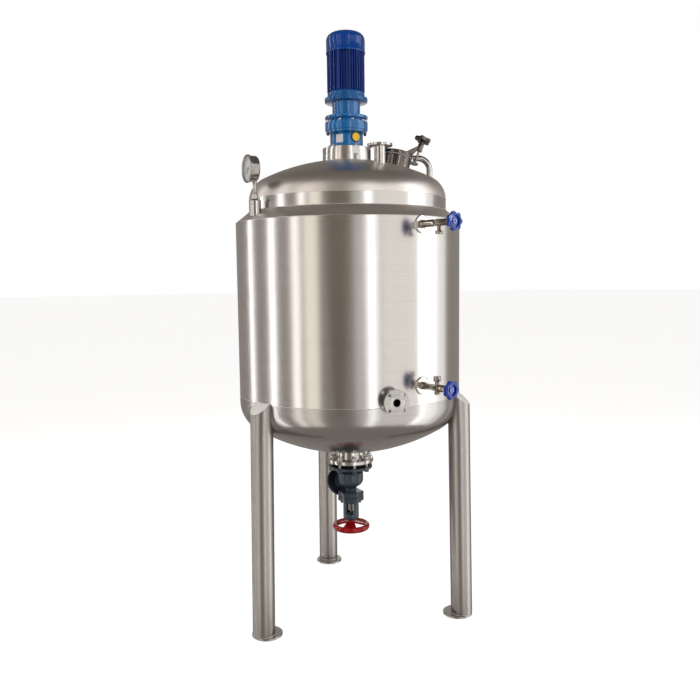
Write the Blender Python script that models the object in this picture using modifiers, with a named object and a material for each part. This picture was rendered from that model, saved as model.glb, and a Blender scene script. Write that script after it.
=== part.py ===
"""Jacketed mixing tank on three tube legs, with a top mounted gear motor.

The frame stands on the floor under the middle of the whole object, +Z up,
with the side valves and the side nozzle towards -Y. The tank's own axis
stands TANK_Y behind the origin. Metres throughout.
"""

import math

import bmesh
import bpy
from mathutils import Euler, Matrix, Vector

GAP = 0.0003
TANK_Y = 0.049

# Jacket: outer wall, shoulder cone and lower dished head
JACKET_RADIUS = 0.600
JACKET_WALL = 0.004
JACKET_TOP = 2.108
JACKET_WELD = 1.196
SHOULDER_TOP = 2.165
HEAD_WALL = 0.005
LOWER_KNUCKLE = 0.160
LOWER_CROWN = 0.990
LOWER_STRAIGHT = 0.040

# Inner vessel
VESSEL_RADIUS = 0.5275
VESSEL_WALL = 0.005
VESSEL_FLOOR_RIM = 1.200
VESSEL_FLOOR_STRAIGHT = 0.050
VESSEL_TOP_RIM = 2.227
UPPER_KNUCKLE = 0.120
UPPER_CROWN = 1.050

# Drive on the top head
RING_RADIUS = 0.129
RING_WALL = 0.014
RING_TOP = 2.505
RING_FOOT = 2.424
SHAFT_RADIUS = 0.020
FLANGE_RADIUS = 0.114
BASE_FLANGE_RADIUS = 0.105
OUTPUT_RADIUS = 0.088
NECK_RADIUS = 0.0742
LOWER_STEP_RADIUS = 0.109
BOLT_GAP_RADIUS = 0.098
MOTOR_RADIUS = 0.100
MOTOR_CORE = 0.087
COWL_RADIUS = 0.104
BASE_FLANGE_TOP = 2.512
RING_GEAR_FOOT = 2.583
LOWER_STEP_TOP = 2.596
BOLT_GAP_FOOT = 2.640
RING_GEAR_TOP = 2.655
COVER_TOP = 2.671
SHIELD_FOOT = 2.745
SHIELD_FLANGE_TOP = 2.766
MOTOR_FOOT = 2.797
COWL_FOOT = 2.996
MOTOR_TOP = 3.000
TANK_TOP = 3.103
FIN_COUNT = 43

# Small nozzle on the top head
NOZZLE_AZIMUTH = 18.1
NOZZLE_DISTANCE = 0.3145
NOZZLE_TUBE = 0.0285
NOZZLE_WALL = 0.003
NOZZLE_FLANGE = 0.0635
NOZZLE_FLANGE_THICK = 0.013
NOZZLE_TOP = 2.485
BOLT_HOLE = 0.007

# Manway on the top head, leaning outwards with its surface
MANWAY_AZIMUTH = 98.0
MANWAY_DISTANCE = 0.281
MANWAY_TILT = 12.5
MANWAY_NECK = 0.0795
MANWAY_WALL = 0.004
MANWAY_FOOT = -0.016
MANWAY_RISE = 0.0767
MANWAY_RIM = 0.083
MANWAY_RIM_THICK = 0.004
GASKET_THICK = 0.003
LID_RADIUS = 0.086
LID_THICK = 0.020
HINGE_REACH = 0.104
KNUCKLE_RADIUS = 0.012
PIN_RADIUS = 0.005

# Clamp screw at the lid's outer side, leaning outwards; heights run along it from the lid's foot
CLAMP_REACH = 0.1145
CLAMP_TILT = 9.5
SLEEVE_FOOT = 0.063
SLEEVE_TOP = 0.103
SLEEVE_RADIUS = 0.016
SCREW_RADIUS = 0.0065
SCREW_TIP = -0.018
SCREW_TOP = 0.130
STAR_HEIGHT = 0.131
STAR_RADIUS = 0.047
STAR_THICK = 0.022
LUG_REACH = 0.129
LUG_HALF = 0.016

# Bent open pipe beside the manway
PIPE_AZIMUTH = 99.1
PIPE_DISTANCE = 0.504
PIPE_FACING = 76.2
PIPE_RADIUS = 0.01685
PIPE_BORE = 0.0135
PIPE_BEND_FOOT = 2.417
PIPE_BEND_RADIUS = 0.0645
PIPE_LEVEL_RUN = 0.028
PIPE_BORE_DEPTH = 0.012

# Gauge on the shoulder
GAUGE_AZIMUTH = -66.6
GAUGE_DISTANCE = 0.572
GAUGE_FACING = -76.0
GAUGE_RADIUS = 0.0685
GAUGE_CENTRE = 2.356
GAUGE_FRONT = 0.043
GAUGE_BACK = 0.010
SOCKET_RADIUS = 0.0285
GAUGE_STEM = 0.0105

# Level cocks on the jacket wall
COCK_AZIMUTH = 22.5
UPPER_COCK_Z = 2.069
LOWER_COCK_Z = 1.290
COCK_PLATE = 0.045
COCK_PLATE_THICK = 0.006
COCK_WHEEL_RADIUS = 0.046

# Side nozzle on the jacket wall, just above the weld
SIDE_AZIMUTH = 5.9
SIDE_Z = 1.228
SIDE_FACE = 0.660
SIDE_FLANGE = 0.0645
SIDE_BOLT_CIRCLE = 0.0520
SIDE_FLANGE_THICK = 0.016
SIDE_NECK = 0.030
SIDE_BORE = 0.019

# Outlet and its valve under the tank
OUTLET_RADIUS = 0.081
OUTLET_WALL = 0.004
OUTLET_TOP = 0.943
OUTLET_FLANGE = 0.128
OUTLET_FLANGE_TOP = 0.8215
OUTLET_FLANGE_FOOT = 0.801
CAST_FLANGE = 0.121
CAST_FLANGE_TOP = 0.7815
CAST_FLANGE_FOOT = 0.764
BODY_RADIUS = 0.070
BODY_FOOT = 0.628
BONNET_RADIUS = 0.073
BONNET_FOOT = 0.574
YOKE_RADIUS = 0.0435
YOKE_WALL = 0.008
YOKE_FOOT = 0.467
STEM_RADIUS = 0.011
BRANCH_AZIMUTH = -161.0
BRANCH_SLOPE = 28.0
BRANCH_ROOT_Z = 0.715
BRANCH_RADIUS = 0.042
BRANCH_LENGTH = 0.118
BRANCH_FLANGE = 0.080
BRANCH_FLANGE_THICK = 0.018
WHEEL_RADIUS = 0.104
WHEEL_Z = 0.428
RIM_RADIUS = 0.0125
SPOKE_AZIMUTH = -13.8

# Legs
LEG_AZIMUTHS = {"left_leg": -60.0, "right_leg": 57.0, "rear_leg": 180.0}
LEG_RADIUS = 0.057
LEG_WALL = 0.004
LEG_CIRCLE_FOOT = 0.627
LEG_SPLAY = 0.9
LEG_CUT_Z = 1.150
LEG_CUT_SLOPE = 38.0
PAD_RADIUS = 0.078
PAD_THICK = 0.008
PAD_INSET = 0.022

HEAD_STEPS = 3
SHELL_STEPS = 48
ROUND_STEPS = 28
SMALL_STEPS = 16
SHARP_ANGLE = 35


def clear_scene():
    for item in list(bpy.data.objects):
        bpy.data.objects.remove(item, do_unlink=True)


def new_collection(name):
    collection = bpy.data.collections.new(name)
    bpy.context.scene.collection.children.link(collection)
    return collection


clear_scene()
PARTS = new_collection("mixing_tank")
CUTTERS = new_collection("cutters")


def new_material(name, colour, roughness, metallic):
    material = bpy.data.materials.new(name)
    material.use_nodes = True
    shader = material.node_tree.nodes["Principled BSDF"]
    shader.inputs["Base Color"].default_value = (*colour, 1.0)
    shader.inputs["Roughness"].default_value = roughness
    shader.inputs["Metallic"].default_value = metallic
    material.diffuse_color = (*colour, 1.0)
    return material


SATIN = new_material("satin_stainless", (0.62, 0.61, 0.59), 0.35, 1.0)
POLISHED = new_material("polished_stainless", (0.75, 0.74, 0.72), 0.15, 1.0)
NAVY = new_material("navy_paint", (0.02, 0.06, 0.28), 0.40, 0.0)
BLUE = new_material("gearbox_blue", (0.02, 0.20, 0.50), 0.35, 0.0)
WHEEL_BLUE = new_material("handwheel_blue", (0.02, 0.06, 0.45), 0.35, 0.0)
WHEEL_RED = new_material("handwheel_red", (0.45, 0.01, 0.01), 0.35, 0.0)
CAST = new_material("valve_grey", (0.14, 0.19, 0.22), 0.55, 0.3)
BLACK = new_material("black_rubber", (0.01, 0.01, 0.01), 0.70, 0.0)
WHITE_DIAL = new_material("dial_face", (0.75, 0.76, 0.76), 0.50, 0.0)


def add_part(name, mesh, material, parent, location=(0, 0, 0), rotation=(0, 0, 0)):
    part = bpy.data.objects.new(name, mesh)
    PARTS.objects.link(part)
    part.data.materials.append(material)
    part.parent = parent
    part.location = location
    part.rotation_euler = rotation
    return part


def add_empty(name, parent, location=(0, 0, 0), rotation=(0, 0, 0)):
    empty = bpy.data.objects.new(name, None)
    PARTS.objects.link(empty)
    empty.parent = parent
    empty.location = location
    empty.rotation_euler = rotation
    return empty


def as_cutter(item):
    """Take a built piece out of the parts, to cut or extend another one."""
    PARTS.objects.unlink(item)
    CUTTERS.objects.link(item)
    item.hide_render = True
    item.display_type = "WIRE"
    return item


def boolean(part, tool, operation):
    modifier = part.modifiers.new(operation.lower(), "BOOLEAN")
    modifier.operation = operation
    modifier.object = as_cutter(tool)
    modifier.solver = "EXACT"
    return part


def cut(part, tool):
    return boolean(part, tool, "DIFFERENCE")


def join(part, tool):
    return boolean(part, tool, "UNION")


def polyline_mesh(name, points, closed):
    mesh = bpy.data.meshes.new(name)
    count = len(points)
    edges = [(i, i + 1) for i in range(count - 1)]
    if closed:
        edges.append((count - 1, 0))
    mesh.from_pydata([(r, 0.0, z) for r, z in points], edges, [])
    return mesh


def turned(name, points, material, parent, steps=ROUND_STEPS, closed=False, **place):
    """Turn a profile of (radius, height) points, given from the top down its outer side."""
    part = add_part(name, polyline_mesh(name, points, closed), material, parent, **place)
    screw = part.modifiers.new("turn", "SCREW")
    screw.axis = "Z"
    screw.angle = math.tau
    screw.steps = steps
    screw.render_steps = steps
    screw.use_merge_vertices = True
    screw.merge_threshold = 0.00005
    screw.use_smooth_shade = False
    return part


def disc(name, radius, foot, top, material, parent, steps=ROUND_STEPS, **place):
    points = [(0, top), (radius, top), (radius, foot), (0, foot)]
    return turned(name, points, material, parent, steps, **place)


def ring(name, outer, inner, foot, top, material, parent, steps=ROUND_STEPS, **place):
    points = [(inner, top), (outer, top), (outer, foot), (inner, foot)]
    return turned(name, points, material, parent, steps, closed=True, **place)


def box(name, low, high, material, parent, **place):
    mesh = bpy.data.meshes.new(name)
    shape = bmesh.new()
    bmesh.ops.create_cube(shape, size=1.0)
    size = [b - a for a, b in zip(low, high)]
    middle = [(a + b) / 2 for a, b in zip(low, high)]
    bmesh.ops.scale(shape, vec=size, verts=shape.verts)
    bmesh.ops.translate(shape, vec=middle, verts=shape.verts)
    shape.to_mesh(mesh)
    shape.free()
    return add_part(name, mesh, material, parent, **place)


def curve_to_part(name, curve, material, parent, location=(0, 0, 0), rotation=(0, 0, 0)):
    """Make a curve a mesh with its caps welded, so that it can be cut and joined."""
    holder = bpy.data.objects.new(name + "_outline", curve)
    PARTS.objects.link(holder)
    graph = bpy.context.evaluated_depsgraph_get()
    mesh = bpy.data.meshes.new_from_object(holder.evaluated_get(graph))
    bpy.data.objects.remove(holder, do_unlink=True)
    shape = bmesh.new()
    shape.from_mesh(mesh)
    bmesh.ops.remove_doubles(shape, verts=shape.verts, dist=0.00001)
    bmesh.ops.recalc_face_normals(shape, faces=shape.faces)
    shape.to_mesh(mesh)
    shape.free()
    mesh.name = name
    mesh.materials.clear()
    return add_part(name, mesh, material, parent, location, rotation)


def plate(name, outline, thickness, material, parent, **place):
    """A flat outline in the local X-Y plane, thickened evenly about it."""
    curve = bpy.data.curves.new(name, "CURVE")
    curve.dimensions = "2D"
    curve.fill_mode = "BOTH"
    curve.extrude = thickness / 2
    spline = curve.splines.new("POLY")
    spline.points.add(len(outline) - 1)
    for point, (x, y) in zip(spline.points, outline):
        point.co = (x, y, 0, 1)
    spline.use_cyclic_u = True
    return curve_to_part(name, curve, material, parent, **place)


def rod(name, path, radius, material, parent, sides=2, **place):
    curve = bpy.data.curves.new(name, "CURVE")
    curve.dimensions = "3D"
    curve.bevel_depth = radius
    curve.bevel_resolution = sides
    curve.use_fill_caps = True
    spline = curve.splines.new("POLY")
    spline.points.add(len(path) - 1)
    for point, place_at in zip(spline.points, path):
        point.co = (*place_at, 1)
    return curve_to_part(name, curve, material, parent, **place)


def outward(azimuth, distance, z):
    """A place at this azimuth, turned from -Y towards +X about the tank's axis."""
    angle = math.radians(azimuth)
    return (distance * math.sin(angle), -distance * math.cos(angle), z)


def facing(azimuth, tilt=0.0):
    """Turn local -Y to this azimuth, and tip local Z outwards by tilt."""
    return (math.radians(tilt), 0, math.radians(azimuth))


# Local axes for a piece whose turning axis points outwards from the tank
POINT_OUT = math.radians(90)


def arc(centre_r, centre_z, radius, start, end, count):
    points = []
    for i in range(count + 1):
        angle = math.radians(start + (end - start) * i / count)
        points.append((centre_r + radius * math.cos(angle), centre_z + radius * math.sin(angle)))
    return points


def head_profile(radius, knuckle, crown, hole, count):
    """Outer line of a dished head above z = 0, from its rim up to a central hole."""
    centre = radius - knuckle
    drop = math.sqrt((crown - knuckle) ** 2 - centre ** 2)
    meet = math.degrees(math.atan2(drop, centre))
    edge = math.degrees(math.acos(hole / crown))
    points = arc(centre, 0, knuckle, 0, meet, count)
    points += arc(0, -drop, crown, meet, edge, count)[1:]
    return points


def head_height(radius, knuckle, crown, distance):
    """Height of a dished head's outer face over its knuckle line at a distance."""
    centre = radius - knuckle
    drop = math.sqrt((crown - knuckle) ** 2 - centre ** 2)
    if distance > centre * crown / (crown - knuckle):
        return math.sqrt(knuckle ** 2 - (distance - centre) ** 2)
    return math.sqrt(crown ** 2 - distance ** 2) - drop


def head_wall(radius, knuckle, crown, wall, hole, straight):
    """Closed profile of a dished head with its short straight rim, apex up."""
    outer = head_profile(radius, knuckle, crown, hole, HEAD_STEPS)
    inner = head_profile(radius - wall, knuckle - wall, crown - wall, hole, HEAD_STEPS)
    points = outer[::-1] + [(radius, -straight), (radius - wall, -straight)] + inner
    return points


def flipped(points, z):
    """Turn an apex-up profile over, with its knuckle line at this height."""
    return [(r, z - height) for r, height in points][::-1]


def raised(points, z):
    return [(r, z + height) for r, height in points]


AXIS = add_empty("tank_axis", None, location=(0, TANK_Y, 0))


# Jacket and vessel
SHOULDER_HIGH = (VESSEL_RADIUS + GAP + 0.004, SHOULDER_TOP)
SHOULDER_LOW = (JACKET_RADIUS, JACKET_TOP + GAP + JACKET_WALL * 0.5)


def build_jacket():
    shell = ring(
        "jacket_shell", JACKET_RADIUS, JACKET_RADIUS - JACKET_WALL,
        JACKET_WELD + GAP, JACKET_TOP, SATIN, AXIS, SHELL_STEPS,
    )
    bore = disc(
        "side_bore_cutter", SIDE_BORE, 0.58, 0.62, SATIN, AXIS, SMALL_STEPS,
        location=(0, 0, SIDE_Z),
        rotation=(POINT_OUT, 0, math.radians(SIDE_AZIMUTH)),
    )
    cut(shell, bore)

    inner = VESSEL_RADIUS + GAP
    wall = JACKET_WALL
    points = [
        (inner, SHOULDER_TOP),
        SHOULDER_HIGH,
        SHOULDER_LOW,
        (JACKET_RADIUS, JACKET_TOP + GAP),
        (JACKET_RADIUS - wall, JACKET_TOP + GAP),
        (inner, SHOULDER_TOP - wall * 1.6),
    ]
    turned("jacket_shoulder", points, SATIN, AXIS, SHELL_STEPS, closed=True)

    profile = head_wall(
        JACKET_RADIUS, LOWER_KNUCKLE, LOWER_CROWN, HEAD_WALL,
        OUTLET_RADIUS + GAP, LOWER_STRAIGHT,
    )
    knuckle_line = JACKET_WELD - LOWER_STRAIGHT
    turned(
        "jacket_bottom_head", flipped(profile, knuckle_line), SATIN, AXIS,
        SHELL_STEPS, closed=True,
    )


def build_vessel():
    ring(
        "vessel_shell", VESSEL_RADIUS, VESSEL_RADIUS - VESSEL_WALL,
        VESSEL_FLOOR_RIM + GAP, VESSEL_TOP_RIM - GAP, SATIN, AXIS, SHELL_STEPS,
    )
    profile = head_wall(
        VESSEL_RADIUS, UPPER_KNUCKLE, UPPER_CROWN, VESSEL_WALL,
        OUTLET_RADIUS + GAP, VESSEL_FLOOR_STRAIGHT,
    )
    turned(
        "vessel_bottom", flipped(profile, VESSEL_FLOOR_RIM - VESSEL_FLOOR_STRAIGHT),
        SATIN, AXIS, SHELL_STEPS, closed=True,
    )
    hole = RING_RADIUS + GAP
    outer = head_profile(VESSEL_RADIUS, UPPER_KNUCKLE, UPPER_CROWN, hole, HEAD_STEPS)
    inner = head_profile(
        VESSEL_RADIUS - VESSEL_WALL, UPPER_KNUCKLE - VESSEL_WALL,
        UPPER_CROWN - VESSEL_WALL, hole, HEAD_STEPS,
    )
    head = turned(
        "top_head", raised(outer[::-1] + inner, VESSEL_TOP_RIM), SATIN, AXIS,
        SHELL_STEPS, closed=True,
    )
    nozzle_hole = disc(
        "nozzle_hole_cutter", NOZZLE_TUBE + GAP, 2.30, 2.45, SATIN, AXIS,
        location=outward(NOZZLE_AZIMUTH, NOZZLE_DISTANCE, 0),
    )
    cut(head, nozzle_hole)
    manway_hole = disc(
        "manway_hole_cutter", MANWAY_NECK + GAP, -0.05, 0.05, SATIN, MANWAY,
    )
    cut(head, manway_hole)


def head_block(name, radius, knuckle, crown, knuckle_line, hole, far, up=True):
    """Solid form of a dished head, one gap larger, that trims what is welded to it."""
    points = head_profile(radius + GAP, knuckle + GAP, crown + GAP, hole, HEAD_STEPS)
    if up:
        points = raised(points, knuckle_line)[::-1]
        points = [(0, points[0][1])] + points + [(radius + GAP, far), (0, far)]
    else:
        points = flipped(points, knuckle_line)[::-1]
        points = [(0, far), (radius + GAP, far)] + points + [(0, points[-1][1])]
    return turned(name, points, SATIN, AXIS, SHELL_STEPS)


# Drive: mounting ring, gearbox, motor and the agitator it turns
def build_drive():
    points = [
        (SHAFT_RADIUS + 0.004, RING_TOP), (RING_RADIUS, RING_TOP),
        (RING_RADIUS, RING_FOOT), (RING_RADIUS - RING_WALL, RING_FOOT),
        (RING_RADIUS - RING_WALL, RING_TOP - 0.016),
        (SHAFT_RADIUS + 0.004, RING_TOP - 0.016),
    ]
    turned("motor_ring", points, POLISHED, AXIS, closed=True)

    points = [
        (0, RING_GEAR_FOOT), (OUTPUT_RADIUS, RING_GEAR_FOOT),
        (OUTPUT_RADIUS, BASE_FLANGE_TOP), (BASE_FLANGE_RADIUS, BASE_FLANGE_TOP),
        (BASE_FLANGE_RADIUS, RING_TOP + GAP), (0, RING_TOP + GAP),
    ]
    turned("gearbox_housing", points, BLUE, AXIS)
    points = [
        (0, RING_GEAR_TOP), (BOLT_GAP_RADIUS, RING_GEAR_TOP), (BOLT_GAP_RADIUS, BOLT_GAP_FOOT),
        (FLANGE_RADIUS, BOLT_GAP_FOOT), (FLANGE_RADIUS, LOWER_STEP_TOP),
        (LOWER_STEP_RADIUS, LOWER_STEP_TOP), (LOWER_STEP_RADIUS, RING_GEAR_FOOT + GAP),
        (0, RING_GEAR_FOOT + GAP),
    ]
    turned("ring_gear_housing", points, BLUE, AXIS)

    points = [
        (0, SHIELD_FOOT), (NECK_RADIUS, SHIELD_FOOT), (NECK_RADIUS, COVER_TOP),
        (FLANGE_RADIUS, COVER_TOP), (FLANGE_RADIUS, RING_GEAR_TOP + GAP), (0, RING_GEAR_TOP + GAP),
    ]
    turned("gearbox_neck", points, BLUE, AXIS)

    points = [
        (0, MOTOR_FOOT), (MOTOR_RADIUS - 0.004, MOTOR_FOOT),
        (MOTOR_RADIUS - 0.001, SHIELD_FLANGE_TOP + 0.020),
        (MOTOR_RADIUS - 0.001, SHIELD_FLANGE_TOP),
        (FLANGE_RADIUS, SHIELD_FLANGE_TOP), (FLANGE_RADIUS, SHIELD_FOOT + GAP),
        (0, SHIELD_FOOT + GAP),
    ]
    turned("motor_end_shield", points, NAVY, AXIS)
    build_motor_body()

    lip = COWL_RADIUS - MOTOR_RADIUS - GAP
    crown = arc(COWL_RADIUS - 0.040, TANK_TOP - 0.040, 0.040, 90, 0, 3)
    cavity = arc(COWL_RADIUS - 0.040, TANK_TOP - 0.040, 0.040 - lip, 0, 90, 3)
    points = [(0, TANK_TOP)] + crown + [
        (COWL_RADIUS, COWL_FOOT), (COWL_RADIUS - lip, COWL_FOOT),
    ] + cavity + [(0, TANK_TOP - lip)]
    turned("fan_cowl", points, BLUE, AXIS, SHELL_STEPS)
    build_agitator()


def build_motor_body():
    outline = []
    for i in range(FIN_COUNT):
        middle = math.tau * i / FIN_COUNT
        half_root = math.radians(2.5)
        half_tip = math.radians(1.5)
        for radius, turn in (
            (MOTOR_CORE, -half_root), (MOTOR_RADIUS, -half_tip),
            (MOTOR_RADIUS, half_tip), (MOTOR_CORE, half_root),
        ):
            angle = middle + turn
            outline.append((radius * math.cos(angle), radius * math.sin(angle)))
    height = MOTOR_TOP - MOTOR_FOOT - GAP
    plate(
        "motor_body", outline, height, NAVY, AXIS,
        location=(0, 0, MOTOR_FOOT + GAP + height / 2),
    )


def build_agitator():
    hub_z = 1.130
    shaft = disc(
        "agitator", SHAFT_RADIUS, hub_z - 0.03, RING_TOP, SATIN, AXIS, SMALL_STEPS,
    )
    hub = disc("agitator_hub", 0.035, hub_z - 0.03, hub_z + 0.03, SATIN, AXIS, SMALL_STEPS)
    join(shaft, hub)
    for side in (0, 180):
        blade = box(
            "agitator_blade", (0.02, -0.004, -0.035), (0.21, 0.004, 0.035), SATIN, AXIS,
            location=(0, 0, hub_z),
        )
        blade.rotation_euler = Euler((math.radians(45), 0, math.radians(side)))
        join(shaft, blade)


# Nozzle and manway on the top head
def bolt_holes(part, radius, count, turn, foot, top, parent, **place):
    for i in range(count):
        angle = math.radians(turn + 360 * i / count)
        hole = ring_cutter(radius * math.cos(angle), radius * math.sin(angle), foot, top, parent, place)
        cut(part, hole)


def ring_cutter(x, y, foot, top, parent, place):
    mesh = bpy.data.meshes.new("bolt_hole")
    shape = bmesh.new()
    middle = Matrix.Translation((x, y, (foot + top) / 2))
    bmesh.ops.create_cone(
        shape, cap_ends=True, segments=10, radius1=BOLT_HOLE, radius2=BOLT_HOLE,
        depth=top - foot, matrix=middle,
    )
    shape.to_mesh(mesh)
    shape.free()
    return add_part("bolt_hole_cutter", mesh, SATIN, parent, **place)


def build_top_nozzle():
    foot = VESSEL_TOP_RIM + head_height(
        VESSEL_RADIUS, UPPER_KNUCKLE, UPPER_CROWN, NOZZLE_DISTANCE,
    ) - 0.012
    flange_foot = NOZZLE_TOP - NOZZLE_FLANGE_THICK
    bore = NOZZLE_TUBE - NOZZLE_WALL
    points = [
        (bore, NOZZLE_TOP), (NOZZLE_FLANGE, NOZZLE_TOP), (NOZZLE_FLANGE, flange_foot),
        (NOZZLE_TUBE, flange_foot), (NOZZLE_TUBE, foot), (bore, foot),
    ]
    place = {
        "location": outward(NOZZLE_AZIMUTH, NOZZLE_DISTANCE, 0),
        "rotation": facing(NOZZLE_AZIMUTH),
    }
    nozzle = turned("top_nozzle", points, POLISHED, AXIS, closed=True, **place)
    bolt_holes(
        nozzle, NOZZLE_FLANGE * 0.76, 4, 45, flange_foot - 0.01, NOZZLE_TOP + 0.01, AXIS, **place,
    )


def manway_seat():
    height = VESSEL_TOP_RIM + head_height(
        VESSEL_RADIUS, UPPER_KNUCKLE, UPPER_CROWN, MANWAY_DISTANCE,
    )
    return outward(MANWAY_AZIMUTH, MANWAY_DISTANCE, height), facing(MANWAY_AZIMUTH, MANWAY_TILT)


SEAT_PLACE, SEAT_TURN = manway_seat()
MANWAY = add_empty("manway_seat", AXIS, SEAT_PLACE, SEAT_TURN)
LID_FOOT = MANWAY_RISE + GASKET_THICK + 2 * GAP
LID_TOP = LID_FOOT + LID_THICK
HINGE_HEIGHT = LID_FOOT + LID_THICK / 2
HINGE = add_empty("lid_hinge", MANWAY, (0, HINGE_REACH, HINGE_HEIGHT))
CLAMP = add_empty(
    "clamp_axis", HINGE, (0, -HINGE_REACH - CLAMP_REACH, LID_FOOT - HINGE_HEIGHT),
    (math.radians(CLAMP_TILT), 0, 0),
)

# Plates that stand upright in the manway's radial plane
UPRIGHT = (math.radians(90), 0, math.radians(90))
ACROSS = (0, math.radians(90), 0)


def build_manway_neck():
    """The neck with its rim, the two hinge ears with their pin, and the lug of the clamp."""
    bore = MANWAY_NECK - MANWAY_WALL
    rim_foot = MANWAY_RISE - MANWAY_RIM_THICK
    points = [
        (bore, MANWAY_RISE), (MANWAY_RIM, MANWAY_RISE), (MANWAY_RIM, rim_foot),
        (MANWAY_NECK, rim_foot), (MANWAY_NECK, MANWAY_FOOT), (bore, MANWAY_FOOT),
    ]
    neck = turned("manway_neck", points, POLISHED, MANWAY, closed=True)

    ear_thick = 0.007
    ear_side = 0.024
    wall_y = MANWAY_NECK - 0.0065
    pin_end = [
        (
            HINGE_REACH + KNUCKLE_RADIUS * math.cos(math.radians(a)),
            HINGE_HEIGHT + KNUCKLE_RADIUS * math.sin(math.radians(a)),
        )
        for a in range(-20, 201, 44)
    ]
    ear = [(wall_y, rim_foot - 0.026), (HINGE_REACH + 0.006, rim_foot + 0.002)] + pin_end + [
        (HINGE_REACH - KNUCKLE_RADIUS, rim_foot + 0.001), (wall_y, rim_foot - 0.001),
    ]
    for side in (-ear_side, ear_side):
        join(neck, plate(
            "hinge_ear", ear, ear_thick, SATIN, MANWAY, location=(side, 0, 0), rotation=UPRIGHT,
        ))
    pin_half = ear_side + ear_thick / 2 + 0.004
    join(neck, disc(
        "hinge_pin", PIN_RADIUS, -pin_half, pin_half, SATIN, MANWAY, SMALL_STEPS,
        location=(0, HINGE_REACH, HINGE_HEIGHT), rotation=ACROSS,
    ))

    lug_foot = LID_FOOT - 0.019
    lug_top = LID_FOOT - 0.006
    join(neck, box(
        "clamp_lug", (-LUG_HALF, -LUG_REACH, lug_foot), (LUG_HALF, -MANWAY_NECK + 0.003, lug_top),
        SATIN, MANWAY,
    ))
    cut(neck, disc("clamp_hole", SCREW_RADIUS + 0.004, -0.06, 0.0, SATIN, CLAMP, SMALL_STEPS))


def build_manway_gasket():
    foot = MANWAY_RISE + GAP
    ring(
        "manway_gasket", MANWAY_RIM, MANWAY_NECK - MANWAY_WALL, foot, foot + GASKET_THICK,
        WHITE_DIAL, MANWAY,
    )


def build_manway_lid():
    """The lid, its hinge arm and knuckle, and the gusset that holds the sleeve of the clamp screw."""
    down = -HINGE_HEIGHT
    points = [
        (0, LID_TOP + 0.002), (LID_RADIUS * 0.55, LID_TOP + 0.001), (LID_RADIUS - 0.003, LID_TOP - 0.001),
        (LID_RADIUS, LID_TOP - 0.004), (LID_RADIUS, LID_FOOT), (0, LID_FOOT),
    ]
    lid = turned("manway_lid", points, POLISHED, HINGE, location=(0, -HINGE_REACH, down))
    arm_half = 0.011
    join(lid, box(
        "hinge_arm", (-arm_half, -HINGE_REACH, 0.0), (arm_half, 0, LID_THICK / 2 + 0.006), SATIN, HINGE,
    ))
    knuckle_half = 0.0198
    join(lid, disc(
        "lid_knuckle", KNUCKLE_RADIUS, -knuckle_half, knuckle_half, SATIN, HINGE, SMALL_STEPS,
        rotation=ACROSS,
    ))
    join(lid, disc("screw_sleeve", SLEEVE_RADIUS, SLEEVE_FOOT, SLEEVE_TOP, SATIN, CLAMP, SMALL_STEPS))
    gusset = [
        (-0.024, LID_TOP + 0.002), (-0.118, LID_FOOT + 0.094), (-0.114, LID_FOOT + 0.066),
        (-LID_RADIUS + 0.004, LID_TOP - 0.004), (-0.024, LID_TOP - 0.004),
    ]
    join(lid, plate(
        "gusset", gusset, 0.008, SATIN, HINGE, location=(0, -HINGE_REACH, down), rotation=UPRIGHT,
    ))
    cut(lid, disc(
        "pin_bore", PIN_RADIUS + 0.0006, -0.05, 0.05, SATIN, HINGE, SMALL_STEPS, rotation=ACROSS,
    ))
    cut(lid, disc(
        "screw_bore", SCREW_RADIUS + 0.0008, SLEEVE_FOOT - 0.013, SLEEVE_TOP + 0.013, SATIN, CLAMP,
        SMALL_STEPS,
    ))


def build_clamp():
    points = [
        (0, SCREW_TOP), (SCREW_RADIUS, SCREW_TOP), (SCREW_RADIUS, SCREW_TIP + 0.004),
        (SCREW_RADIUS - 0.002, SCREW_TIP), (0, SCREW_TIP),
    ]
    turned("clamp_screw", points, SATIN, CLAMP, 12)
    lobes = 5
    steps = lobes * 6
    outline = []
    for i in range(steps):
        angle = math.tau * i / steps
        radius = STAR_RADIUS * (0.86 + 0.14 * math.cos(lobes * angle))
        outline.append((radius * math.cos(angle), radius * math.sin(angle)))
    star = plate("star_handwheel", outline, STAR_THICK, SATIN, CLAMP, location=(0, 0, STAR_HEIGHT))
    join(star, disc("star_hub", 0.015, SLEEVE_TOP + GAP, STAR_HEIGHT, SATIN, CLAMP, SMALL_STEPS))
    cut(star, disc("star_bore", SCREW_RADIUS + GAP, 0.09, SCREW_TOP + GAP, SATIN, CLAMP, 12))


def build_vent_pipe():
    """Upright on the dome, then bent level towards the manway, with an open end."""
    place = {
        "location": outward(PIPE_AZIMUTH, PIPE_DISTANCE, 0),
        "rotation": facing(PIPE_FACING),
    }
    level = PIPE_BEND_FOOT + PIPE_BEND_RADIUS
    path = [(0, 0, VESSEL_TOP_RIM + 0.023)]
    for i in range(9):
        angle = math.radians(90 * i / 8)
        path.append((
            0, PIPE_BEND_RADIUS * (1 - math.cos(angle)), PIPE_BEND_FOOT + PIPE_BEND_RADIUS * math.sin(angle),
        ))
    end = PIPE_BEND_RADIUS + PIPE_LEVEL_RUN
    path.append((0, end, level))
    pipe = rod("vent_pipe", path, PIPE_RADIUS, POLISHED, AXIS, **place)
    bore = [(0, end - PIPE_BORE_DEPTH, level), (0, end + 0.01, level)]
    cut(pipe, rod("pipe_bore_cutter", bore, PIPE_BORE, POLISHED, AXIS, **place))
    cut(pipe, head_block(
        "pipe_dome_cutter", VESSEL_RADIUS, UPPER_KNUCKLE, UPPER_CROWN, VESSEL_TOP_RIM,
        RING_RADIUS + GAP, 2.0,
    ))


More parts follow.
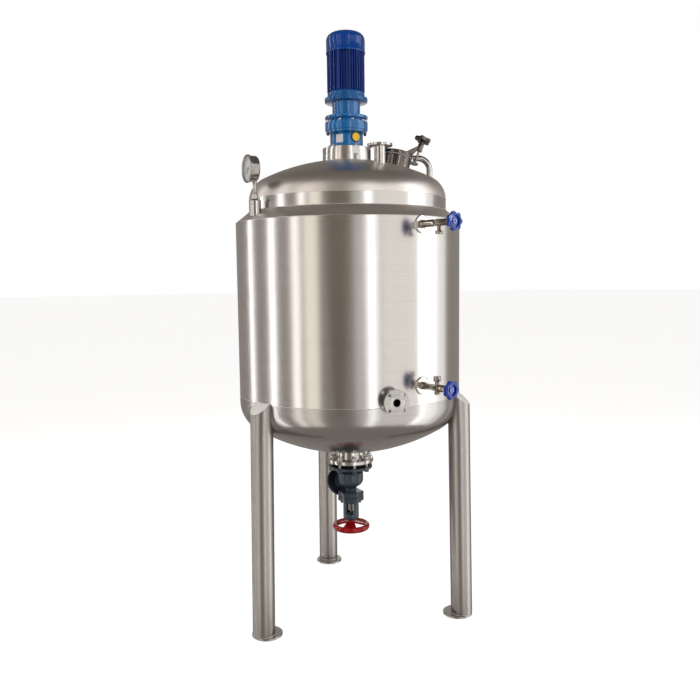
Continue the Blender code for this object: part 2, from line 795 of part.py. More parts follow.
# Gauge on its welded socket
def build_gauge():
    place = {"location": outward(GAUGE_AZIMUTH, GAUGE_DISTANCE, 0), "rotation": facing(GAUGE_AZIMUTH)}
    points = [
        (0, 2.209), (SOCKET_RADIUS - 0.006, 2.209), (SOCKET_RADIUS, 2.203), (SOCKET_RADIUS, 2.138),
        (SOCKET_RADIUS - 0.002, 2.134), (SOCKET_RADIUS - 0.002, 2.09), (0, 2.09),
    ]
    socket = turned("gauge_socket", points, POLISHED, AXIS, SMALL_STEPS, **place)
    high_r, high_z = SHOULDER_HIGH
    low_r, low_z = SHOULDER_LOW
    past = 0.001
    edge_z = low_z + past * (low_z - high_z) / (low_r - high_r)
    cone = [
        (0, high_z + 2 * GAP), (high_r, high_z + 2 * GAP), (low_r + past, edge_z + 2 * GAP),
        (low_r + past, 2.0), (0, 2.0),
    ]
    cut(socket, turned("socket_cone_cutter", cone, SATIN, AXIS, SHELL_STEPS))
    cut(socket, disc("socket_wall_cutter", VESSEL_RADIUS + GAP, 2.0, 2.3, SATIN, AXIS, SHELL_STEPS))

    back_foot = GAUGE_CENTRE - GAUGE_RADIUS
    points = [
        (0, back_foot + 0.014), (GAUGE_STEM, back_foot + 0.014), (GAUGE_STEM, 2.236), (0.0165, 2.236),
        (0.0165, 2.209 + GAP), (0, 2.209 + GAP),
    ]
    stem = turned("gauge_stem", points, SATIN, AXIS, 12, **place)

    turn = {
        "location": outward(GAUGE_AZIMUTH, GAUGE_DISTANCE, GAUGE_CENTRE),
        "rotation": (POINT_OUT, 0, math.radians(GAUGE_FACING)),
    }
    rim = GAUGE_FRONT - 0.010
    points = [
        (GAUGE_RADIUS - 0.008, GAUGE_FRONT), (GAUGE_RADIUS - 0.002, GAUGE_FRONT),
        (GAUGE_RADIUS, GAUGE_FRONT - 0.004), (GAUGE_RADIUS, rim), (GAUGE_RADIUS - 0.005, rim - 0.002),
        (GAUGE_RADIUS - 0.005, -GAUGE_BACK + 0.008), (GAUGE_RADIUS - 0.014, -GAUGE_BACK),
        (0, -GAUGE_BACK), (0, rim - 0.004), (GAUGE_RADIUS - 0.008, rim - 0.004),
    ]
    case_profile = points[8:] + points[:8]
    turned("gauge_case", case_profile, SATIN, AXIS, ROUND_STEPS, **turn)
    disc(
        "gauge_dial", GAUGE_RADIUS - 0.0085, rim - 0.004 + GAP, rim - 0.001, WHITE_DIAL, AXIS,
        ROUND_STEPS, **turn,
    )
    case_room = disc(
        "stem_case_cutter", GAUGE_RADIUS - 0.005 + GAP, -0.06, 0.06, SATIN, AXIS, ROUND_STEPS, **turn,
    )
    cut(stem, case_room)


def jacket_block():
    """Solid form of the jacket wall, one gap larger, that trims what is welded to it."""
    return disc("jacket_cutter", JACKET_RADIUS + GAP, 1.0, 2.3, SATIN, AXIS, SHELL_STEPS)


# Level cocks: a plate on the wall, a body with its stubs, and a lobed handwheel
def build_cock(name, height, reach, pipe, body_radius, body_foot, stub_at, stubs):
    place = {
        "location": (0, 0, height),
        "rotation": (POINT_OUT, 0, math.radians(COCK_AZIMUTH)),
    }
    wall = JACKET_RADIUS + GAP
    face = wall + COCK_PLATE_THICK
    points = [
        (0, face), (COCK_PLATE - 0.004, face), (COCK_PLATE, wall + 0.001), (COCK_PLATE, wall - 0.01),
        (0, wall - 0.01),
    ]
    cut(turned(name + "_cock_plate", points, POLISHED, AXIS, 24, **place), jacket_block())

    gland = 0.0135
    gland_foot = reach - 0.030
    points = [
        (0, reach), (gland, reach), (gland, gland_foot), (body_radius, gland_foot - 0.004),
        (body_radius, body_foot), (pipe, body_foot - 0.004), (pipe, face + 0.010),
        (pipe + 0.006, face + 0.005), (pipe + 0.006, face + GAP), (0, face + GAP),
    ]
    body = turned(name + "_cock_body", points, POLISHED, AXIS, SMALL_STEPS, **place)
    for direction, neck, cap, cap_start, cap_end in stubs:
        turn = 0 if direction > 0 else math.pi
        stub = turned(
            "stub", [(0, cap_end), (cap, cap_end), (cap, cap_start), (neck, cap_start - 0.003), (neck, 0), (0, 0)],
            POLISHED, AXIS, 12,
            location=outward(COCK_AZIMUTH, stub_at, height), rotation=(turn, 0, math.radians(COCK_AZIMUTH)),
        )
        join(body, stub)
    spindle_bore = disc("spindle_bore", 0.0068, reach - 0.020, reach + 0.01, SATIN, AXIS, 12, **place)
    cut(body, spindle_bore)
    build_cock_wheel(name, reach, place)


def build_cock_wheel(name, reach, place):
    lobes = 7
    outline = []
    for i in range(lobes * 4):
        angle = math.tau * i / (lobes * 4)
        radius = COCK_WHEEL_RADIUS * (0.92 + 0.08 * math.cos(lobes * angle))
        outline.append((radius * math.cos(angle), radius * math.sin(angle)))
    centre = reach + 0.022
    turn = Euler(place["rotation"]).to_matrix()
    shift = turn @ Vector((0, 0, centre))
    spot = Vector(place["location"]) + shift
    wheel = plate(
        name + "_handwheel", outline, 0.018, WHEEL_BLUE, AXIS, location=spot, rotation=place["rotation"],
    )
    dish = disc("dish_cutter", 0.027, centre + 0.001, centre + 0.03, SATIN, AXIS, SMALL_STEPS, **place)
    cut(wheel, dish)
    hub = disc("wheel_hub", 0.012, reach + GAP, centre + 0.006, SATIN, AXIS, 12, **place)
    join(wheel, hub)
    spindle = disc("wheel_spindle", 0.006, reach - 0.018, reach + 0.01, SATIN, AXIS, 12, **place)
    join(wheel, spindle)


# Side nozzle on the jacket
def build_side_nozzle():
    place = {
        "location": (0, 0, SIDE_Z),
        "rotation": (POINT_OUT, 0, math.radians(SIDE_AZIMUTH)),
    }
    flange_back = SIDE_FACE - SIDE_FLANGE_THICK
    points = [
        (SIDE_BORE, SIDE_FACE), (SIDE_FLANGE, SIDE_FACE), (SIDE_FLANGE, flange_back),
        (SIDE_NECK, flange_back), (SIDE_NECK, 0.57), (SIDE_BORE, 0.57),
    ]
    nozzle = turned("side_nozzle", points, POLISHED, AXIS, 24, closed=True, **place)
    bolt_holes(
        nozzle, SIDE_BOLT_CIRCLE, 4, 45, flange_back - 0.01, SIDE_FACE + 0.01, AXIS, **place,
    )
    cut(nozzle, jacket_block())


# Outlet, valve and red handwheel
def build_outlet():
    bore = OUTLET_RADIUS - OUTLET_WALL
    points = [
        (bore, OUTLET_TOP), (OUTLET_RADIUS, OUTLET_TOP), (OUTLET_RADIUS, OUTLET_FLANGE_TOP),
        (OUTLET_FLANGE, OUTLET_FLANGE_TOP), (OUTLET_FLANGE, OUTLET_FLANGE_FOOT), (bore, OUTLET_FLANGE_FOOT),
    ]
    turned("outlet_neck", points, POLISHED, AXIS, SHELL_STEPS, closed=True)
    ring(
        "outlet_gasket", 0.088, 0.078, CAST_FLANGE_TOP + GAP, OUTLET_FLANGE_FOOT - GAP, BLACK, AXIS,
    )
    points = [
        (0, CAST_FLANGE_TOP), (CAST_FLANGE, CAST_FLANGE_TOP), (CAST_FLANGE, CAST_FLANGE_FOOT),
        (0.052, CAST_FLANGE_FOOT), (0.050, 0.748), (BODY_RADIUS, 0.738), (BODY_RADIUS, 0.690),
        (0.052, 0.664), (0.033, 0.652), (0.031, BODY_FOOT + GAP), (0, BODY_FOOT + GAP),
    ]
    body = turned("valve_body", points, CAST, AXIS, 24)
    branch_place = {
        "location": (0, 0, BRANCH_ROOT_Z),
        "rotation": (math.radians(90 + BRANCH_SLOPE), 0, math.radians(BRANCH_AZIMUTH)),
    }
    join(body, disc("branch", BRANCH_RADIUS, 0.0, BRANCH_LENGTH, CAST, AXIS, 20, **branch_place))
    disc(
        "valve_side_flange", BRANCH_FLANGE, BRANCH_LENGTH + GAP, BRANCH_LENGTH + BRANCH_FLANGE_THICK,
        BLACK, AXIS, 24, **branch_place,
    )

    hexagon = [
        (BONNET_RADIUS * math.cos(math.radians(a)), BONNET_RADIUS * math.sin(math.radians(a)))
        for a in range(16, 376, 60)
    ]
    bonnet_height = BODY_FOOT - BONNET_FOOT
    bonnet = plate(
        "valve_bonnet", hexagon, bonnet_height, CAST, AXIS,
        location=(0, 0, BONNET_FOOT + bonnet_height / 2),
    )
    cut(bonnet, disc("stem_seat", STEM_RADIUS + 0.0006, 0.50, 0.602, SATIN, AXIS, SMALL_STEPS))
    build_yoke()
    disc("valve_stem", STEM_RADIUS, 0.412, 0.600, POLISHED, AXIS, 12)
    build_red_handwheel()


def build_yoke():
    top = BONNET_FOOT - GAP
    inner = YOKE_RADIUS - YOKE_WALL
    points = [
        (inner, top), (YOKE_RADIUS, top), (YOKE_RADIUS, YOKE_FOOT + 0.012), (YOKE_RADIUS - 0.012, YOKE_FOOT),
        (STEM_RADIUS + 0.0006, YOKE_FOOT), (STEM_RADIUS + 0.0006, YOKE_FOOT + 0.030), (inner, YOKE_FOOT + 0.030),
    ]
    yoke = turned("valve_yoke", points, CAST, AXIS, 24, closed=True)
    window = box(
        "yoke_window", (-0.020, -0.06, YOKE_FOOT + 0.034), (0.020, 0.06, top - 0.008), SATIN, AXIS,
        rotation=(0, 0, math.radians(-25)),
    )
    cut(yoke, window)


def build_red_handwheel():
    bpy.ops.mesh.primitive_torus_add(
        major_radius=WHEEL_RADIUS - RIM_RADIUS, minor_radius=RIM_RADIUS,
        major_segments=24, minor_segments=8,
    )
    torus = bpy.context.object
    torus.name = "red_handwheel"
    for collection in list(torus.users_collection):
        collection.objects.unlink(torus)
    PARTS.objects.link(torus)
    torus.data.materials.append(WHEEL_RED)
    torus.parent = AXIS
    torus.location = (0, 0, WHEEL_Z)
    hub = disc("red_hub", 0.020, WHEEL_Z - 0.012, YOKE_FOOT - 0.005, SATIN, AXIS, 12)
    join(torus, hub)
    for i in range(3):
        spoke = box(
            "red_spoke", (-0.010, -WHEEL_RADIUS + RIM_RADIUS, -0.005), (0.010, -0.012, 0.005), SATIN, AXIS,
            location=(0, 0, WHEEL_Z), rotation=(0, 0, math.radians(SPOKE_AZIMUTH + 120 * i)),
        )
        join(torus, spoke)
    cut(torus, disc("red_bore", STEM_RADIUS + GAP, 0.38, 0.50, SATIN, AXIS, 12))


# Legs: each a tube with a slanted top plate, trimmed to the lower head, on its own pad
def build_leg(name, azimuth):
    lean = facing(azimuth, -LEG_SPLAY)
    foot = outward(azimuth, LEG_CIRCLE_FOOT, 0)
    length = 1.30
    tube = ring(name, LEG_RADIUS, LEG_RADIUS - LEG_WALL, 0.0, length, SATIN, AXIS, 20, location=foot, rotation=lean)
    top_circle = LEG_CIRCLE_FOOT - LEG_CUT_Z * math.tan(math.radians(LEG_SPLAY))
    corner = outward(azimuth, top_circle + LEG_RADIUS, LEG_CUT_Z)
    slant = (math.radians(LEG_CUT_SLOPE), 0, math.radians(azimuth))
    above = box(
        "leg_top_cutter", (-0.1, -0.05, 0.0), (0.1, 0.25, 0.4), SATIN, AXIS, location=corner, rotation=slant,
    )
    cut(tube, above)
    filling = disc(
        "leg_top_plate", LEG_RADIUS - 0.002, 0.0, length, SATIN, AXIS, 20, location=foot, rotation=lean,
    )
    trim = box(
        "top_plate_slab", (-0.1, -0.05, -0.005), (0.1, 0.25, 0.0), SATIN, AXIS, location=corner, rotation=slant,
    )
    boolean(filling, trim, "INTERSECT")
    join(tube, filling)
    cut(tube, head_block(
        "leg_head_cutter", JACKET_RADIUS, LOWER_KNUCKLE, LOWER_CROWN, JACKET_WELD - LOWER_STRAIGHT,
        OUTLET_RADIUS + GAP, 1.4, up=False,
    ))
    cut(tube, box("pad_cutter", (-0.8, -0.8, -0.1), (0.8, 0.8, PAD_THICK + GAP), SATIN, AXIS))
    pad = outward(azimuth, LEG_CIRCLE_FOOT - PAD_INSET, 0)
    disc(name.replace("leg", "pad"), PAD_RADIUS, 0.0, PAD_THICK, SATIN, AXIS, 32, location=pad)


def settle_parts():
    """Keep each piece's finished form as its own mesh, its round faces shaded smooth."""
    graph = bpy.context.evaluated_depsgraph_get()
    finished = {}
    for part in PARTS.objects:
        if part.type == "MESH":
            finished[part] = bpy.data.meshes.new_from_object(part.evaluated_get(graph))
    for part, mesh in finished.items():
        part.modifiers.clear()
        part.data = mesh
        mesh.name = part.name
        mesh.shade_smooth()
        mesh.set_sharp_from_angle(angle=math.radians(SHARP_ANGLE))


build_jacket()
build_vessel()
build_drive()
build_top_nozzle()
build_manway_neck()
build_manway_gasket()
build_manway_lid()
build_clamp()
build_vent_pipe()
build_gauge()
build_cock(
    "upper", UPPER_COCK_Z, 0.798, 0.0140, 0.0160, 0.690, 0.720, [(-1, 0.0095, 0.018, 0.039, 0.054)],
)
build_cock(
    "lower", LOWER_COCK_Z, 0.778, 0.0125, 0.0175, 0.684, 0.706,
    [(1, 0.0110, 0.018, 0.033, 0.057), (-1, 0.0120, 0.014, 0.020, 0.032)],
)
build_side_nozzle()
build_outlet()
for leg_name, leg_azimuth in LEG_AZIMUTHS.items():
    build_leg(leg_name, leg_azimuth)
settle_parts()
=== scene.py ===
import math

import bpy
from mathutils import Euler, Matrix, Vector


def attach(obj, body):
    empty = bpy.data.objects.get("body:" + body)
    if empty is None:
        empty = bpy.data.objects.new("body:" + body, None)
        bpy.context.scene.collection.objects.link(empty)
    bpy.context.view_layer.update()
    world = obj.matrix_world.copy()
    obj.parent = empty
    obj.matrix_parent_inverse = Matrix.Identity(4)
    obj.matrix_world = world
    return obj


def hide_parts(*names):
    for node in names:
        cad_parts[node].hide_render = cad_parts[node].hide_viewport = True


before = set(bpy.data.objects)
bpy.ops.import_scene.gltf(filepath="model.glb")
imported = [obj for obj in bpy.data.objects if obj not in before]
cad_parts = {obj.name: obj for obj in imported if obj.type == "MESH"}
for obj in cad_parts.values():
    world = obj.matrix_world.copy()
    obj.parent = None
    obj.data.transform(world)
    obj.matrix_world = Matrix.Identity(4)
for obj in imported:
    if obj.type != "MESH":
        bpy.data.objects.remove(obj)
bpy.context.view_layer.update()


# Studio: a pale floor that the tank stands on, tall soft boxes round it that the steel
# mirrors as upright bands, a grey flag between them, and one wide soft light overhead.
# The camera stands at eye height, a little left of the side with the cocks.
TANK_Y = 0.049
CAMERA_PLACE = (-0.9767, -3.9276, 1.8211)
CAMERA_TURN = (1.473439, 0.011943, -0.243202)
CAMERA_LENS = 38.403
FLOOR_RADIUS = 90.0
BOX_DISTANCE = 6.5
SOFT_BOXES = [
    # name, azimuth, width, foot, head, brightness, tint
    ("left_back_box", -123, 1.15, -4.5, 8.6, 0.75, (1.0, 0.98, 0.96)),
    ("left_back_strip", -125, 0.24, -4.5, 7.0, 5.0, (1.0, 0.99, 0.98)),
    ("left_box", -91.5, 1.10, -4.5, 8.6, 0.90, (1.0, 0.98, 0.95)),
    ("left_strip", -92, 0.24, -4.5, 7.0, 5.0, (1.0, 0.99, 0.98)),
    ("left_front_box", -64.5, 0.95, -4.5, 8.6, 1.75, (1.0, 0.93, 0.90)),
    ("left_fill_box", -48.5, 1.60, -4.5, 8.6, 0.98, (1.0, 0.93, 0.82)),
    ("front_fill_box", -4.5, 0.90, -4.5, 8.6, 0.36, (1.0, 0.99, 0.97)),
    ("front_box", 8.5, 1.60, -4.5, 8.6, 0.95, (0.99, 1.0, 1.0)),
    ("front_strip", 8, 0.20, -4.5, 7.0, 4.5, (0.99, 1.0, 1.0)),
    ("right_fill_box", 35.5, 4.20, -4.5, 7.0, 0.76, (1.0, 0.97, 0.94)),
    ("right_box", 69, 3.20, -4.5, 7.0, 1.50, (1.0, 1.0, 1.0)),
    ("right_strip", 61, 0.20, -4.5, 7.0, 4.0, (1.0, 1.0, 1.0)),
    ("right_back_box", 90.0, 1.50, -4.5, 7.0, 0.85, (1.0, 1.0, 1.0)),
    ("rear_box", 165, 3.00, 1.4, 3.6, 0.90, (1.0, 0.99, 0.98)),
]
FLAG_AZIMUTH = -23
FILL_AZIMUTH = -20
FILL_BRIGHTNESS = 0.75

camera = bpy.data.objects.new("camera", bpy.data.cameras.new("camera"))
bpy.context.collection.objects.link(camera)
camera.location = CAMERA_PLACE
camera.rotation_euler = CAMERA_TURN
camera.data.lens = CAMERA_LENS
camera.data.sensor_width = 36
bpy.context.scene.camera = camera
bpy.context.scene.view_settings.view_transform = "Standard"

for name, azimuth, width, foot, head, brightness, tint in SOFT_BOXES:
    turn = math.radians(azimuth)
    height = head - foot
    lamp = bpy.data.lights.new(name, "AREA")
    lamp.shape = "RECTANGLE"
    lamp.size = width
    lamp.size_y = height
    lamp.energy = brightness * math.pi * width * height
    lamp.color = tint
    holder = bpy.data.objects.new(name, lamp)
    bpy.context.collection.objects.link(holder)
    holder.location = (
        BOX_DISTANCE * math.sin(turn), TANK_Y - BOX_DISTANCE * math.cos(turn), (foot + head) / 2,
    )
    holder.rotation_euler = (math.radians(90), 0, turn)
    holder.visible_camera = False

overhead = bpy.data.lights.new("overhead_box", "AREA")
overhead.size = 5.0
overhead.energy = 0.9 * math.pi * 25
top_light = bpy.data.objects.new("overhead_box", overhead)
bpy.context.collection.objects.link(top_light)
top_light.location = (-1.0, -1.5, 6.5)
top_light.rotation_euler = (math.radians(-13), math.radians(-9), 0)
top_light.visible_camera = False
top_light.visible_glossy = False

turn = math.radians(FILL_AZIMUTH)
fill = bpy.data.lights.new("fill_box", "AREA")
fill.size = 5.0
fill.energy = FILL_BRIGHTNESS * math.pi * 25
fill_light = bpy.data.objects.new("fill_box", fill)
bpy.context.collection.objects.link(fill_light)
fill_light.location = (6.0 * math.sin(turn), TANK_Y - 6.0 * math.cos(turn), 2.6)
fill_light.rotation_euler = (math.radians(88), 0, turn)
fill_light.visible_camera = False
fill_light.visible_glossy = False

world = bpy.data.worlds.new("studio")
bpy.context.scene.world = world
world.use_nodes = True
world_nodes = world.node_tree.nodes
world_links = world.node_tree.links
room = world_nodes["Background"]
heading = world_nodes.new("ShaderNodeTexCoord")
parts = world_nodes.new("ShaderNodeSeparateXYZ")
rise = world_nodes.new("ShaderNodeMapRange")
rise.inputs["From Min"].default_value = 0.10
rise.inputs["From Max"].default_value = 0.75
walls = world_nodes.new("ShaderNodeMix")
walls.data_type = "RGBA"
walls.inputs[6].default_value = (0.300, 0.272, 0.248, 1)
walls.inputs[7].default_value = (0.135, 0.119, 0.105, 1)
world_links.new(heading.outputs["Generated"], parts.inputs["Vector"])
world_links.new(parts.outputs["Z"], rise.inputs["Value"])
world_links.new(rise.outputs["Result"], walls.inputs["Factor"])
world_links.new(walls.outputs[2], room.inputs["Color"])
room.inputs["Strength"].default_value = 1.0
white = world_nodes.new("ShaderNodeBackground")
white.inputs["Color"].default_value = (1, 1, 1, 1)
path = world_nodes.new("ShaderNodeLightPath")
either = world_nodes.new("ShaderNodeMixShader")
world_links.new(path.outputs["Is Camera Ray"], either.inputs["Fac"])
world_links.new(room.outputs["Background"], either.inputs[1])
world_links.new(white.outputs["Background"], either.inputs[2])
world_links.new(either.outputs["Shader"], world_nodes["World Output"].inputs["Surface"])


def choose(*pieces):
    """Have only these pieces selected, with the last one active."""
    bpy.ops.object.select_all(action="DESELECT")
    for piece in pieces:
        piece.select_set(True)
    bpy.context.view_layer.objects.active = pieces[-1]


def turn_piece(name, profile, steps=96):
    """Draw a round piece ring by ring up the Z axis, from its first (radius, height) to its last."""
    bpy.ops.object.select_all(action="DESELECT")
    radius, height = profile[0]
    bpy.ops.mesh.primitive_circle_add(vertices=steps, radius=radius)
    piece = bpy.context.object
    piece.name = name
    piece.data.name = name
    bpy.ops.object.mode_set(mode="EDIT")
    bpy.ops.mesh.select_all(action="SELECT")
    bpy.ops.transform.translate(value=(0, 0, height))
    for next_radius, next_height in profile[1:]:
        bpy.ops.mesh.extrude_edges_move(TRANSFORM_OT_translate={"value": (0, 0, next_height - height)})
        if abs(next_radius - radius) > 1e-7:
            scale = next_radius / radius
            bpy.ops.transform.resize(value=(scale, scale, 1), center_override=(0, 0, next_height))
        radius, height = next_radius, next_height
    bpy.ops.mesh.select_all(action="SELECT")
    bpy.ops.mesh.remove_doubles(threshold=0.00003)
    bpy.ops.mesh.fill_holes(sides=0)
    bpy.ops.mesh.select_all(action="SELECT")
    bpy.ops.mesh.normals_make_consistent(inside=False)
    bpy.ops.object.mode_set(mode="OBJECT")
    return piece


def soften(piece, width, rows=2):
    """Round a piece's sharp edges and shade the rest smooth."""
    choose(piece)
    if width:
        edge = piece.modifiers.new("edge", "BEVEL")
        edge.width = width
        edge.segments = rows
        edge.limit_method = "ANGLE"
        edge.angle_limit = math.radians(32)
        bpy.ops.object.modifier_apply(modifier="edge")
    bpy.ops.object.shade_smooth_by_angle(angle=math.radians(38))


def set_down(piece, place):
    """Bring a piece that was drawn about the origin to its place, which its mesh keeps."""
    piece.matrix_world = place
    choose(piece)
    bpy.ops.object.transform_apply(location=True, rotation=True, scale=True)


def worked_skin():
    """Fine marks along and up the piece and broad patches, as brushing, casting or spraying leaves them."""
    group = bpy.data.node_groups.new("worked_skin", "ShaderNodeTree")
    for socket, start in (("Round", 3.0), ("Upright", 200.0), ("Patches", 2.0)):
        new = group.interface.new_socket(socket, in_out="INPUT", socket_type="NodeSocketFloat")
        new.default_value = start
    for socket in ("Fine", "Broad"):
        group.interface.new_socket(socket, in_out="OUTPUT", socket_type="NodeSocketFloat")
    nodes = group.nodes
    ways_in = nodes.new("NodeGroupInput")
    ways_out = nodes.new("NodeGroupOutput")
    spot = nodes.new("ShaderNodeTexCoord")
    stretch = nodes.new("ShaderNodeCombineXYZ")
    scaled = nodes.new("ShaderNodeVectorMath")
    scaled.operation = "MULTIPLY"
    fine = nodes.new("ShaderNodeTexNoise")
    fine.inputs["Scale"].default_value = 1.0
    fine.inputs["Detail"].default_value = 4.0
    broad = nodes.new("ShaderNodeTexNoise")
    broad.inputs["Detail"].default_value = 2.0
    link = group.links.new
    for axis, socket in (("X", "Round"), ("Y", "Round"), ("Z", "Upright")):
        link(ways_in.outputs[socket], stretch.inputs[axis])
    link(spot.outputs["Object"], scaled.inputs[0])
    link(stretch.outputs["Vector"], scaled.inputs[1])
    link(scaled.outputs["Vector"], fine.inputs["Vector"])
    link(spot.outputs["Object"], broad.inputs["Vector"])
    link(ways_in.outputs["Patches"], broad.inputs["Scale"])
    link(fine.outputs["Fac"], ways_out.inputs["Fine"])
    link(broad.outputs["Fac"], ways_out.inputs["Broad"])
    return group


SKIN = worked_skin()


def new_finish(name, light, dark, smooth, rough, grain, patches, depth, metallic=0.0, coat=0.0, sway=0.0):
    """A finish: two tones, two roughnesses, grain (round, upright), patches and the depth of its marks."""
    material = bpy.data.materials.new(name)
    material.use_nodes = True
    nodes = material.node_tree.nodes
    link = material.node_tree.links.new
    shader = nodes["Principled BSDF"]
    shader.inputs["Metallic"].default_value = metallic
    shader.inputs["Coat Weight"].default_value = coat
    shader.inputs["Coat Roughness"].default_value = 0.05
    if not metallic:
        strongest = max(light)
        shader.inputs["Specular Tint"].default_value = (*[0.3 + 0.7 * tone / strongest for tone in light], 1)
    skin = nodes.new("ShaderNodeGroup")
    skin.node_tree = SKIN
    skin.inputs["Round"].default_value = grain[0]
    skin.inputs["Upright"].default_value = grain[1]
    skin.inputs["Patches"].default_value = patches
    tone = nodes.new("ShaderNodeMix")
    tone.data_type = "RGBA"
    tone.inputs[6].default_value = (*dark, 1)
    tone.inputs[7].default_value = (*light, 1)
    blend = nodes.new("ShaderNodeMath")
    blend.operation = "MULTIPLY_ADD"
    blend.inputs[1].default_value = 0.5
    link(skin.outputs["Fine"], blend.inputs[0])
    half = nodes.new("ShaderNodeMath")
    half.operation = "MULTIPLY"
    half.inputs[1].default_value = 0.5
    link(skin.outputs["Broad"], half.inputs[0])
    link(half.outputs["Value"], blend.inputs[2])
    spread = nodes.new("ShaderNodeMapRange")
    spread.inputs["From Min"].default_value = 0.35
    spread.inputs["From Max"].default_value = 0.65
    link(blend.outputs["Value"], spread.inputs["Value"])
    link(spread.outputs["Result"], tone.inputs["Factor"])
    link(tone.outputs[2], shader.inputs["Base Color"])
    polish = nodes.new("ShaderNodeMapRange")
    polish.inputs["From Min"].default_value = 0.3
    polish.inputs["From Max"].default_value = 0.7
    polish.inputs["To Min"].default_value = smooth
    polish.inputs["To Max"].default_value = rough
    link(blend.outputs["Value"], polish.inputs["Value"])
    link(polish.outputs["Result"], shader.inputs["Roughness"])
    marks = nodes.new("ShaderNodeBump")
    marks.inputs["Strength"].default_value = 1.0
    marks.inputs["Distance"].default_value = depth
    link(skin.outputs["Fine"], marks.inputs["Height"])
    if sway:
        waves = nodes.new("ShaderNodeBump")
        waves.inputs["Distance"].default_value = sway
        link(skin.outputs["Broad"], waves.inputs["Height"])
        link(waves.outputs["Normal"], marks.inputs["Normal"])
    link(marks.outputs["Normal"], shader.inputs["Normal"])
    material.diffuse_color = (*light, 1)
    return material


floor = turn_piece("floor", [(FLOOR_RADIUS, -0.02), (FLOOR_RADIUS, 0.0), (6.0, 0.0), (0.8, 0.0)], 64)
floor_paint = new_finish(
    "pale_floor", (0.36, 0.355, 0.35), (0.34, 0.335, 0.33), 0.75, 0.85, (30, 30), 0.6, 0.0,
)
floor_nodes = floor_paint.node_tree.nodes
floor_link = floor_paint.node_tree.links.new
seen = floor_nodes.new("ShaderNodeLightPath")
glow = floor_nodes.new("ShaderNodeEmission")
glow.inputs["Color"].default_value = (1, 1, 1, 1)
glow.inputs["Strength"].default_value = 0.88
lit = floor_nodes.new("ShaderNodeAddShader")
shown = floor_nodes.new("ShaderNodeMixShader")
floor_link(floor_nodes["Principled BSDF"].outputs["BSDF"], lit.inputs[0])
floor_link(glow.outputs["Emission"], lit.inputs[1])
floor_link(seen.outputs["Is Camera Ray"], shown.inputs["Fac"])
floor_link(floor_nodes["Principled BSDF"].outputs["BSDF"], shown.inputs[1])
floor_link(lit.outputs["Shader"], shown.inputs[2])
floor_link(shown.outputs["Shader"], floor_nodes["Material Output"].inputs["Surface"])
floor.data.materials.append(floor_paint)
floor.visible_glossy = False

turn = math.radians(FLAG_AZIMUTH)
flag = turn_piece("grey_flag", [(1.0, 0.0), (1.0, 0.02)], 48)
flag.scale = (1.0, 4.1, 1.0)
flag.location = (4.6 * math.sin(turn), TANK_Y - 4.6 * math.cos(turn), 4.3)
flag.rotation_euler = (math.radians(90), 0, turn)
choose(flag)
bpy.ops.object.transform_apply(location=True, rotation=True, scale=True)
flag.data.materials.append(new_finish(
    "grey_cloth", (0.42, 0.36, 0.29), (0.36, 0.31, 0.25), 0.9, 0.95, (90, 90), 4, 0.0,
))
flag.visible_camera = False
flag.visible_diffuse = False
flag.visible_shadow = False


# Jacket wall: one sheet of stainless steel rolled round and brushed, with the side nozzle's
# bore cut in it. A slim weld runs round its foot, where the lower head is joined on.
JACKET_RADIUS = 0.600
JACKET_WALL = 0.004
JACKET_FOOT = 1.1963
JACKET_TOP = 2.108
SIDE_AZIMUTH = 5.9
SIDE_Z = 1.228
SIDE_BORE = 0.019
AXIS = Matrix.Translation((0, TANK_Y, 0))
POINT_OUT = math.radians(90)

BRUSHED = new_finish(
    "brushed_stainless", (0.68, 0.665, 0.645), (0.62, 0.607, 0.59), 0.17, 0.23, (1.2, 320), 1.1, 0.000003,
    metallic=1.0, sway=0.003,
)
WELD = new_finish(
    "weld_bead", (0.82, 0.79, 0.75), (0.58, 0.55, 0.52), 0.34, 0.50, (160, 160), 40, 0.00006, metallic=0.7,
)


def outward(azimuth, distance, height):
    """A place at this azimuth, turned from the front towards the right about the tank's axis."""
    turn = math.radians(azimuth)
    return AXIS @ Vector((distance * math.sin(turn), -distance * math.cos(turn), height))


def placed(spot, turn):
    return Matrix.Translation(spot) @ Euler(turn).to_matrix().to_4x4()


def cut_out(piece, tool, operation="DIFFERENCE"):
    """Cut a piece with a tool that is then thrown away."""
    choose(piece)
    cut = piece.modifiers.new("cut", "BOOLEAN")
    cut.operation = operation
    cut.solver = "EXACT"
    cut.object = tool
    bpy.ops.object.modifier_apply(modifier="cut")
    bpy.data.objects.remove(tool, do_unlink=True)


def put_together(name, *pieces):
    """Make several pieces of one material a single piece."""
    choose(*pieces[1:], pieces[0])
    bpy.ops.object.join()
    pieces[0].name = name
    pieces[0].data.name = name
    return pieces[0]


def weld_ring(name, radius, height, size, steps=128):
    """A thin bead laid round the axis, half sunk in the joint."""
    section = [
        (radius + size * math.cos(math.radians(a)), height + size * math.sin(math.radians(a)))
        for a in range(-180, 181, 45)
    ]
    bead = turn_piece(name, section, steps)
    soften(bead, 0)
    return bead


jacket = turn_piece("jacket_wall", [
    (JACKET_RADIUS, JACKET_FOOT), (JACKET_RADIUS, JACKET_TOP), (JACKET_RADIUS - JACKET_WALL, JACKET_TOP),
    (JACKET_RADIUS - JACKET_WALL, JACKET_FOOT), (JACKET_RADIUS, JACKET_FOOT),
], 160)
soften(jacket, 0.0008, 1)
set_down(jacket, AXIS)
side_bore = turn_piece("side_bore", [(SIDE_BORE, 0.58), (SIDE_BORE, 0.62)], 32)
side_place = placed(AXIS @ Vector((0, 0, SIDE_Z)), (POINT_OUT, 0, math.radians(SIDE_AZIMUTH)))
set_down(side_bore, side_place)
cut_out(jacket, side_bore)
jacket.data.materials.clear()
jacket.data.materials.append(BRUSHED)
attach(jacket, "tank")
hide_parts("jacket_shell")

